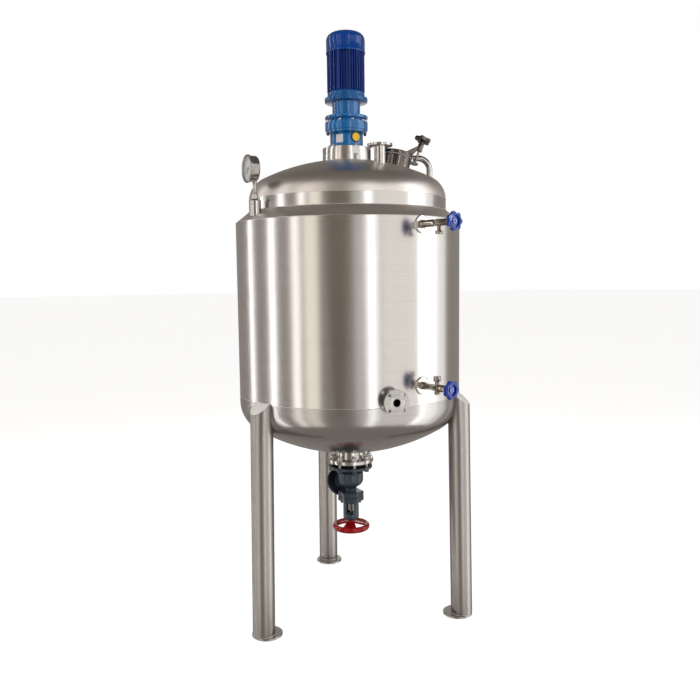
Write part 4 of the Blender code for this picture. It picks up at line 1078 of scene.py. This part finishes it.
DIAL_PALE = new_finish(
    "dial_paint", (0.80, 0.82, 0.83), (0.74, 0.76, 0.78), 0.45, 0.6, (60, 60), 20, 0.00001,
)
INK = new_finish("dial_ink", (0.02, 0.02, 0.025), (0.012, 0.012, 0.015), 0.4, 0.55, (90, 90), 30, 0.00001)
dial = turn_piece("gauge_dial_plate", [
    (0.0600, 0.0293), (0.0600, 0.0312), (0.0590, 0.0316), (0.004, 0.0316),
], 80)
soften(dial, 0)
set_down(dial, GAUGE)
dial.data.materials.append(DIAL_PALE)
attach(dial, "tank")
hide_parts("gauge_dial")

marks = []
for i in range(26):
    turn = math.radians(-135 + 270 * i / 25)
    length = 0.0085 if i % 5 == 0 else 0.0045
    mark = draw_plate("dial_mark", [
        (-0.0006, 0.0), (0.0006, 0.0), (0.0008, length), (-0.0008, length),
    ], 0.0003)
    set_down(mark, GAUGE @ placed((0, 0, 0.0317), (0, 0, turn)) @ Matrix.Translation((0, 0.0445, 0)))
    marks.append(mark)
pointer = draw_plate("dial_pointer", [
    (-0.0020, -0.014), (0.0020, -0.014), (0.0014, 0.012), (0.0005, 0.041), (-0.0005, 0.041), (-0.0014, 0.012),
], 0.0008)
set_down(pointer, GAUGE @ placed((0, 0, 0.0334), (0, 0, math.radians(128))))
marks.append(pointer)
boss = turn_piece("pointer_boss", [(0.0050, 0.0318), (0.0050, 0.0345), (0.0038, 0.0352), (0.001, 0.0352)], 32)
soften(boss, 0)
set_down(boss, GAUGE)
marks.append(boss)
face_marks = put_together("dial_marks", *marks)
face_marks.data.materials.append(INK)
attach(face_marks, "tank")

GLASS = new_finish("gauge_glass", (0.96, 0.97, 0.97), (0.93, 0.95, 0.95), 0.02, 0.06, (60, 60), 10, 0.0)
GLASS.node_tree.nodes["Principled BSDF"].inputs["Alpha"].default_value = 0.12
pane = turn_piece("gauge_glass", [
    (0.0596, 0.0368), (0.0600, 0.0372), (0.0600, 0.0384), (0.0596, 0.0388), (0.004, 0.0388), (0.004, 0.0368),
    (0.0596, 0.0368),
], 64)
choose(pane)
bpy.ops.object.mode_set(mode="EDIT")
bpy.ops.mesh.select_all(action="SELECT")
bpy.ops.mesh.fill_holes(sides=0)
bpy.ops.object.mode_set(mode="OBJECT")
soften(pane, 0)
set_down(pane, GAUGE)
pane.data.materials.append(GLASS)
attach(pane, "tank")


# Level cocks: each has a round plate welded to the jacket wall, a turned body with short
# capped stubs and a gland nut, and a seven lobed enamelled handwheel on its spindle.
COCK_AZIMUTH = 22.5
WARM_STEEL = new_finish(
    "warm_polished_stainless", (0.50, 0.45, 0.39), (0.24, 0.205, 0.17), 0.10, 0.18, (160, 160), 30, 0.00001,
    metallic=1.0,
)
WHEEL_BLUE = new_finish(
    "blue_enamel", (0.002, 0.035, 0.340), (0.001, 0.022, 0.250), 0.18, 0.30, (90, 90), 40, 0.00003, coat=0.4,
)
# Painted highlight: a pale blue copy of the enamel for wheel faces turned out along the wheel's axis.
BLUE_HIGHLIGHT = new_finish(
    "blue_enamel_painted_highlight", (0.34, 0.44, 0.84), (0.20, 0.28, 0.68), 0.20, 0.34, (90, 90), 60, 0.00005, coat=0.4,
)


def cock_place(height):
    return placed(AXIS @ Vector((0, 0, height)), (POINT_OUT, 0, math.radians(COCK_AZIMUTH)))


def wall_plate(name, height):
    """The round plate, its back sunk in the wall and its rim rounded by the weld."""
    plate = turn_piece(name, [
        (0.045, 0.5975), (0.045, 0.6013), (0.0435, 0.6045), (0.0410, 0.6063), (0.0165, 0.6063), (0.0165, 0.5975),
        (0.045, 0.5975),
    ], 64)
    soften(plate, 0.0006, 2)
    set_down(plate, cock_place(height))
    plate.data.materials.append(POLISHED)
    return plate


def cock_stub(height, distance, down, profile):
    stub = turn_piece("cock_stub", profile, 32)
    soften(stub, 0.0007, 2)
    spot = outward(COCK_AZIMUTH, distance, height)
    set_down(stub, placed(spot, (math.pi if down else 0, 0, math.radians(COCK_AZIMUTH))))
    return stub


def lobed_wheel(name, reach, height, highlit):
    """Seven lobes, a dished face whose front may carry a painted highlight, a boss with a painted highlight on its
    top, and a spindle down into the gland.
    """
    lobes = []
    for i in range(84):
        turn = math.tau * i / 84
        radius = 0.046 * (0.92 + 0.08 * math.cos(7 * turn))
        lobes.append((radius * math.cos(turn), radius * math.sin(turn)))
    centre = reach + 0.022
    grip = draw_plate(name, lobes, 0.018)
    soften(grip, 0.0032, 3)
    set_down(grip, Matrix.Translation((0, 0, centre)))
    dish = turn_piece("wheel_dish", [(0.0270, centre + 0.001), (0.0285, centre + 0.02)], 64)
    set_down(dish, Matrix.Identity(4))
    cut_out(grip, dish)
    soften(grip, 0)
    boss = turn_piece("wheel_boss", [
        (0.0060, reach - 0.018), (0.0060, reach + 0.0003), (0.0120, reach + 0.0003), (0.0120, centre + 0.0052),
        (0.0112, centre + 0.0060), (0.0060, centre + 0.0060), (0.0055, centre + 0.0045), (0.0020, centre + 0.0045),
    ], 40)
    soften(boss, 0)
    wheel = put_together(name, grip, boss)
    wheel.data.materials.clear()
    wheel.data.materials.append(WHEEL_BLUE)
    wheel.data.materials.append(BLUE_HIGHLIGHT)
    # Painted highlight: the front rim outside the dish (when highlit) and the boss top, facing out along the axis,
    # take the pale blue.
    for face in wheel.data.polygons:
        spot = face.center
        out = math.hypot(spot.x, spot.y)
        highlit_rim = highlit and out > 0.0287 and spot.z > reach + 0.0305
        highlit_boss = 0.0066 < out < 0.0121 and spot.z > centre + 0.0050
        face.material_index = 1 if (highlit_rim or highlit_boss) and face.normal.z > 0.5 else 0
    set_down(wheel, cock_place(height))
    return wheel


upper_plate = wall_plate("upper_wall_plate", 2.069)
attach(upper_plate, "tank")
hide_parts("upper_cock_plate")

upper_body = turn_piece("upper_cock_turned", [
    (0.0200, 0.6066), (0.0200, 0.6113), (0.0178, 0.6140), (0.0174, 0.6150), (0.0174, 0.686), (0.0160, 0.690),
    (0.0160, 0.7040), (0.0172, 0.7050), (0.0172, 0.7110), (0.0160, 0.7120), (0.0160, 0.764), (0.0135, 0.768),
    (0.0135, 0.7960), (0.0125, 0.798), (0.0068, 0.798), (0.0068, 0.777), (0.004, 0.777),
], 48)
soften(upper_body, 0.0004, 1)
set_down(upper_body, cock_place(2.069))
down_stub = cock_stub(2.069, 0.720, True, [
    (0.0095, 0.0), (0.0095, 0.036), (0.0180, 0.039), (0.0180, 0.0525), (0.0165, 0.054), (0.004, 0.054),
])
upper_cock = put_together("upper_cock_turned", upper_body, down_stub)
upper_cock.data.materials.append(WARM_STEEL)
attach(upper_cock, "tank")
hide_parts("upper_cock_body")

upper_wheel = lobed_wheel("upper_lobed_wheel", 0.798, 2.069, True)
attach(upper_wheel, "upper_wheel")
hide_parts("upper_handwheel")

lower_plate = wall_plate("lower_wall_plate", 1.290)
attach(lower_plate, "tank")
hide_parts("lower_cock_plate")

lower_body = turn_piece("lower_cock_turned", [
    (0.0185, 0.6066), (0.0185, 0.6113), (0.0160, 0.6140), (0.0155, 0.6150), (0.0155, 0.680), (0.0175, 0.684),
    (0.0175, 0.744), (0.0135, 0.748), (0.0135, 0.7760), (0.0125, 0.778), (0.0068, 0.778), (0.0068, 0.757),
    (0.004, 0.757),
], 48)
soften(lower_body, 0.0004, 1)
set_down(lower_body, cock_place(1.290))
up_stub = cock_stub(1.290, 0.706, False, [
    (0.0110, 0.0), (0.0110, 0.030), (0.0180, 0.033), (0.0180, 0.0555), (0.0165, 0.057), (0.004, 0.057),
])
low_stub = cock_stub(1.290, 0.706, True, [
    (0.0120, 0.0), (0.0120, 0.017), (0.0140, 0.020), (0.0140, 0.031), (0.0130, 0.032), (0.004, 0.032),
])
lower_cock = put_together("lower_cock_turned", lower_body, up_stub, low_stub)
lower_cock.data.materials.append(WARM_STEEL)
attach(lower_cock, "tank")
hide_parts("lower_cock_body")

lower_wheel = lobed_wheel("lower_lobed_wheel", 0.778, 1.290, False)
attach(lower_wheel, "lower_wheel")
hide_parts("lower_handwheel")


# Side nozzle: a short pipe welded into the jacket wall with a turned flange on it, a raised
# sealing face with fine grooves, and four bolt holes.
side_profile = [
    (0.019, 0.5975), (0.030, 0.5975), (0.030, 0.6400), (0.0320, 0.6438), (0.0645, 0.6440), (0.0645, 0.6585),
    (0.0400, 0.6585), (0.0398, 0.6600),
]
for i in range(5):
    groove = 0.0375 - 0.0035 * i
    side_profile += [(groove, 0.6600), (groove - 0.0006, 0.6594), (groove - 0.0012, 0.6600)]
side_profile += [(0.019, 0.6600), (0.019, 0.5975)]
side_nozzle = turn_piece("side_flange_turned", side_profile, 80)
soften(side_nozzle, 0.0005, 1)
set_down(side_nozzle, side_place)
for i in range(4):
    turn = math.radians(45 + 90 * i)
    hole = turn_piece("side_flange_hole", [(0.0078, 0.634), (0.0078, 0.670)], 24)
    set_down(hole, side_place @ Matrix.Translation((0.052 * math.cos(turn), 0.052 * math.sin(turn), 0)))
    cut_out(side_nozzle, hole)
soften(side_nozzle, 0)
side_nozzle.data.materials.clear()
side_nozzle.data.materials.append(new_finish(
    "turned_stainless", (0.56, 0.555, 0.54), (0.44, 0.435, 0.425), 0.18, 0.27, (140, 140), 10, 0.00001, metallic=1.0,
))
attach(side_nozzle, "tank")
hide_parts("side_nozzle")

side_weld = weld_ring("side_nozzle_weld", 0.0305, 0.6002, 0.0028, 48)
set_down(side_weld, side_place)
side_weld.data.materials.append(WELD)
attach(side_weld, "tank")


# Outlet: a short polished neck welded under the head with a heavy flange on it. Eight studs
# and big nuts pull the cast valve up against a black seal, with a dark gap between them whose
# darkness is painted shade on the valve flange's top face.
outlet = turn_piece("outlet_neck_turned", [
    (0.077, 0.9430), (0.081, 0.9430), (0.081, 0.8260), (0.0825, 0.8218), (0.1265, 0.8215), (0.128, 0.8200),
    (0.128, 0.8025), (0.1265, 0.8010), (0.077, 0.8010), (0.077, 0.9430),
], 128)
soften(outlet, 0.0008, 2)
set_down(outlet, AXIS)
outlet.data.materials.append(POLISHED)
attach(outlet, "tank")
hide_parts("outlet_neck")

outlet_weld = weld_ring("outlet_weld", 0.0815, 0.8955, 0.0030, 96)
set_down(outlet_weld, AXIS)
outlet_weld.data.materials.append(WELD)
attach(outlet_weld, "tank")

BLACK_RUBBER = new_finish(
    "black_rubber", (0.018, 0.018, 0.019), (0.010, 0.010, 0.011), 0.55, 0.75, (200, 200), 40, 0.0001,
)
seal_ring = turn_piece("outlet_seal", [
    (0.0780, 0.7818), (0.0870, 0.7818), (0.0880, 0.7835), (0.0880, 0.7990), (0.0870, 0.8007), (0.0780, 0.8007),
    (0.0780, 0.7818),
], 96)
soften(seal_ring, 0)
set_down(seal_ring, AXIS)
seal_ring.data.materials.append(BLACK_RUBBER)
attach(seal_ring, "tank")
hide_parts("outlet_gasket")

stud_line = [(0.0062, 0.7560), (0.0078, 0.7578)]
for i in range(36):
    rise = 0.7590 + i * 0.0024
    stud_line += [(0.0070, rise), (0.0078, rise + 0.0012)]
stud_line += [(0.0062, 0.8455)]
stud = turn_piece("outlet_stud", stud_line, 14)
soften(stud, 0)
top_nut = hex_bolt("outlet_nut", 0.026, 0.0140, 0.0020)
set_down(top_nut, Matrix.Translation((0, 0, 0.8216)))
stud_set = ring_of("outlet_studs", put_together("outlet_stud", stud, top_nut), round_axis(0.1050, 0, 8, -2.2))
# Plated studs whose pale tone is partly their plating and partly a painted highlight.
stud_set.data.materials.append(new_finish(
    "zinc_plated_painted_highlight", (0.88, 0.88, 0.86), (0.70, 0.70, 0.68), 0.22, 0.36, (200, 200), 30, 0.00002, metallic=0.6,
))
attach(stud_set, "tank")


# Outlet valve: a blue grey iron casting with its flange up against the studs, a bulb, a
# slanting branch at the back whose flange is painted near black as shade, and a narrow foot.
# The top face of the valve's flange is painted near black too, as the shade in the gap.
CAST_GREY = new_finish(
    "cast_grey_paint", (0.052, 0.076, 0.098), (0.022, 0.034, 0.048), 0.26, 0.42, (150, 150), 22, 0.0003, coat=0.35,
)
# Painted shade: a near black finish that stands in for shade, on the branch flange and on the valve flange's top
# face in the gap.
SHADE_BLACK = new_finish(
    "near_black_painted_shade", (0.012, 0.015, 0.028), (0.006, 0.008, 0.014), 0.32, 0.55, (150, 150), 22, 0.0003,
)
valve = turn_piece("valve_casting", [
    (0.118, 0.7815), (0.121, 0.7795), (0.121, 0.7660), (0.119, 0.7640), (0.0560, 0.7635), (0.0525, 0.7610),
    (0.0505, 0.7560), (0.0500, 0.7500), (0.0530, 0.7462), (0.0640, 0.7425), (0.0690, 0.7380), (0.0700, 0.7340),
    (0.0700, 0.6930), (0.0685, 0.6850), (0.0630, 0.6745), (0.0550, 0.6665), (0.0440, 0.6595), (0.0360, 0.6545),
    (0.0330, 0.6500), (0.0318, 0.6440), (0.0312, 0.6350), (0.0312, 0.6283),
], 96)
soften(valve, 0.0008, 2)
set_down(valve, AXIS)
BRANCH = placed(AXIS @ Vector((0, 0, 0.715)), (math.radians(90 + 28), 0, math.radians(-161)))
branch = turn_piece("valve_branch", [
    (0.0500, 0.030), (0.0450, 0.062), (0.0425, 0.075), (0.0420, 0.110), (0.0420, 0.118),
], 64)
soften(branch, 0)
set_down(branch, BRANCH)
cast_nut = hex_bolt("cast_nut", 0.026, 0.0120)
cast_nuts = ring_of("cast_nuts", cast_nut, round_axis(0.1050, 0.7640, 8, -2.2, flip=True))
valve_body = put_together("valve_casting", valve, branch, cast_nuts)
valve_body.data.materials.clear()
valve_body.data.materials.append(CAST_GREY)
valve_body.data.materials.append(SHADE_BLACK)
# Painted shade: upward faces at the top of the valve's flange take the near black finish.
for face in valve_body.data.polygons:
    face.material_index = 1 if face.normal.z > 0.7 and face.center.z > 0.779 else 0
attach(valve_body, "tank")
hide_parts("valve_body")

side_flange = turn_piece("valve_side_flange_cast", [
    (0.077, 0.1183), (0.080, 0.1205), (0.080, 0.1335), (0.078, 0.1350), (0.0520, 0.1350), (0.0515, 0.1360),
    (0.0300, 0.1360), (0.0300, 0.1285), (0.010, 0.1285),
], 80)
soften(side_flange, 0.0008, 2)
set_down(side_flange, BRANCH)
for i in range(4):
    turn = math.radians(45 + 90 * i)
    hole = turn_piece("branch_flange_hole", [(0.0075, 0.1275), (0.0075, 0.150)], 20)
    set_down(hole, BRANCH @ Matrix.Translation((0.0645 * math.cos(turn), 0.0645 * math.sin(turn), 0)))
    cut_out(side_flange, hole)
soften(side_flange, 0)
# Painted shade: the whole branch flange takes the near black finish, standing in for the shade it sits in.
side_flange.data.materials.clear()
side_flange.data.materials.append(SHADE_BLACK)
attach(side_flange, "tank")
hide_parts("valve_side_flange")


# Bonnet and yoke: a six sided cast block with a bolt at each corner, and under it a short
# cast tube with a window through it, in which the bright stem turns.
bonnet = turn_piece("bonnet_block", [
    (0.0690, 0.5740), (0.0720, 0.5765), (0.0720, 0.5985), (0.0700, 0.5995), (0.0700, 0.6015), (0.0720, 0.6025),
    (0.0720, 0.6255), (0.0690, 0.6280), (0.0117, 0.6280),
    (0.0117, 0.5740), (0.0690, 0.5740),
], 6)
bonnet.rotation_euler = (0, 0, math.radians(16))
choose(bonnet)
bpy.ops.object.transform_apply(rotation=True)
soften(bonnet, 0.0009, 2)
set_down(bonnet, AXIS)
bonnet_places = []
for i in range(6):
    turn = math.radians(16 + 60 * i)
    spot = AXIS @ Vector((0.0585 * math.cos(turn), 0.0585 * math.sin(turn), 0.5740))
    bonnet_places.append(placed(spot, (math.pi, 0, turn)))
bonnet_nuts = ring_of("bonnet_nuts", hex_bolt("bonnet_nut", 0.011, 0.0055), bonnet_places)
bonnet_block = put_together("bonnet_block", bonnet, bonnet_nuts)
bonnet_block.data.materials.append(CAST_GREY)
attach(bonnet_block, "tank")
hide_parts("valve_bonnet")

yoke = turn_piece("yoke_casting", [
    (0.0355, 0.5737), (0.0435, 0.5737), (0.0435, 0.4800), (0.0425, 0.4750), (0.0390, 0.4700), (0.0330, 0.4672),
    (0.0116, 0.4670), (0.0116, 0.4970), (0.0355, 0.4970), (0.0355, 0.5737),
], 72)
soften(yoke, 0)
bpy.ops.object.select_all(action="DESELECT")
bpy.ops.mesh.primitive_cube_add(size=1, location=(0, 0, 0.5335))
window = bpy.context.object
window.scale = (0.040, 0.120, 0.065)
bpy.ops.object.transform_apply(location=True, scale=True)
corner_round = window.modifiers.new("corners", "BEVEL")
corner_round.width = 0.006
corner_round.segments = 4
bpy.ops.object.modifier_apply(modifier="corners")
window.rotation_euler = (0, 0, math.radians(-25))
bpy.ops.object.transform_apply(rotation=True)
cut_out(yoke, window)
soften(yoke, 0.0008, 1)
set_down(yoke, AXIS)
yoke.data.materials.clear()
yoke.data.materials.append(CAST_GREY)
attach(yoke, "tank")
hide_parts("valve_yoke")

stem_line = [(0.0085, 0.4120), (0.0110, 0.4140), (0.0110, 0.4680)]
for i in range(34):
    rise = 0.4700 + i * 0.0030
    stem_line += [(0.0095, rise), (0.0110, rise + 0.0010), (0.0110, rise + 0.0016)]
stem_line += [(0.0110, 0.5740), (0.0110, 0.6000)]
stem = turn_piece("threaded_stem", stem_line, 32)
soften(stem, 0)
set_down(stem, AXIS)
stem.data.materials.append(POLISHED)
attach(stem, "outlet_wheel")
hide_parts("valve_stem")


# Red handwheel: one iron casting with a round rim, three broad spokes and a boss, enamelled
# a deep glossy red and held on the stem by a small nut.
WHEEL_RED = new_finish(
    "red_enamel", (0.480, 0.002, 0.008), (0.330, 0.002, 0.005), 0.12, 0.24, (90, 90), 30, 0.00008, coat=0.4,
)
rim_line = [(r, 0.428 + (z - 0.428) * 1.25) for r, z in bend(0.0905, 0.428, 0.0130, 0, 360, 24)]
rim = turn_piece("red_wheel_cast", rim_line, 96)
soften(rim, 0)
wheel_parts = [rim]
for i in range(3):
    spoke = draw_plate("red_spoke", [
        (-0.0430, -0.0830), (0.0430, -0.0830), (0.0385, -0.0740), (0.0330, -0.0560), (0.0280, -0.0360),
        (0.0190, -0.0080), (-0.0190, -0.0080), (-0.0280, -0.0360), (-0.0330, -0.0560), (-0.0385, -0.0740),
    ], 0.0110)
    soften(spoke, 0.0026, 3)
    set_down(spoke, placed((0, 0, 0.4530), (math.radians(16), 0, math.radians(-21.0 + 120 * i))))
    wheel_parts.append(spoke)
boss = turn_piece("red_boss", [
    (0.0113, 0.4160), (0.0175, 0.4160), (0.0200, 0.4185), (0.0200, 0.4560), (0.0180, 0.4615), (0.0113, 0.4620),
    (0.0113, 0.4160),
], 48)
soften(boss, 0.0005, 1)
wheel_parts.append(boss)
red_wheel = put_together("red_wheel_cast", *wheel_parts)
set_down(red_wheel, AXIS)
red_wheel.data.materials.append(WHEEL_RED)
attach(red_wheel, "outlet_wheel")
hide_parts("red_handwheel")


# Legs: three tubes that lean a little, each cut to the lower head and closed above by a
# slanting plate, with a weld round its joints. Each stands on a round foot pad.
LEG_RADIUS = 0.057
LEG_SPLAY = 0.9
LEG_CUT = 1.150
LEG_SLOPE = 38.0
LEG_STEEL = new_finish(
    "leg_stainless", (0.41, 0.39, 0.37), (0.38, 0.362, 0.344), 0.31, 0.36, (30, 1.0), 3, 0.0,
    metallic=1.0,
)
# Top plate face, partly its real ground finish and partly a painted highlight: a near white finish for the upward
# face.
GROUND_AND_HIGHLIGHT = new_finish(
    "ground_stainless_painted_highlight", (0.98, 0.97, 0.95), (0.82, 0.80, 0.77), 0.42, 0.58, (60, 60), 24, 0.00006, metallic=0.1,
)
for leg_name, azimuth in (("left_leg", -60.0), ("right_leg", 57.0), ("rear_leg", 180.0)):
    lean = placed(outward(azimuth, 0.627, 0), (math.radians(-LEG_SPLAY), 0, math.radians(azimuth)))
    tube = turn_piece(leg_name + "_tube", [
        (LEG_RADIUS, -0.02), (LEG_RADIUS, 0.50), (LEG_RADIUS, 1.0), (LEG_RADIUS, 1.30),
    ], 144)
    set_down(tube, lean)
    at_cut = 0.627 - LEG_CUT * math.tan(math.radians(LEG_SPLAY)) + LEG_RADIUS
    corner = outward(azimuth, at_cut, LEG_CUT)
    slant = Euler((math.radians(LEG_SLOPE), 0, math.radians(azimuth))).to_matrix() @ Vector((0, 0, 1))
    choose(tube)
    bpy.ops.object.mode_set(mode="EDIT")
    bpy.ops.mesh.select_all(action="SELECT")
    bpy.ops.mesh.bisect(plane_co=corner, plane_no=slant, use_fill=True, clear_outer=True)
    bpy.ops.mesh.select_all(action="SELECT")
    bpy.ops.mesh.bisect(plane_co=(0, 0, 0.0083), plane_no=(0, 0, -1), use_fill=True, clear_outer=True)
    bpy.ops.object.mode_set(mode="OBJECT")
    soften(tube, 0.0022, 3)
    line = [(r, 1.156 - z) for r, z in dished_line(0.6002, 0.1602, 0.9902, 0.0813)]
    head_form = turn_piece("head_form", [(0.6002, 1.4)] + line, 128)
    set_down(head_form, AXIS)
    cut_out(tube, head_form)
    soften(tube, 0)
    tube.data.materials.clear()
    tube.data.materials.append(LEG_STEEL)
    tube.data.materials.append(GROUND_AND_HIGHLIGHT)
    # Painted highlight: the upward slanting top face of each leg takes the near white finish.
    for face in tube.data.polygons:
        if face.normal.dot(slant) > 0.97:
            face.material_index = 1
    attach(tube, "tank")
    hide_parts(leg_name)

    pad_name = leg_name.replace("leg", "pad")
    pad = turn_piece(pad_name + "_plate", [(0.0765, 0.0), (0.078, 0.0015), (0.078, 0.0105), (0.0765, 0.012), (0.030, 0.012)], 72)
    soften(pad, 0)
    set_down(pad, placed(outward(azimuth, 0.605, 0), (0, 0, math.radians(azimuth))))
    pad.data.materials.append(LEG_STEEL)
    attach(pad, "tank")
    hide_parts(pad_name)

    pad_weld = weld_ring(leg_name + "_foot_weld", LEG_RADIUS - 0.0004, 0.0126, 0.0020, 64)
    set_down(pad_weld, placed(outward(azimuth, 0.6252, 0), (0, 0, math.radians(azimuth))))
    pad_weld.data.materials.append(WELD)
    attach(pad_weld, "tank")
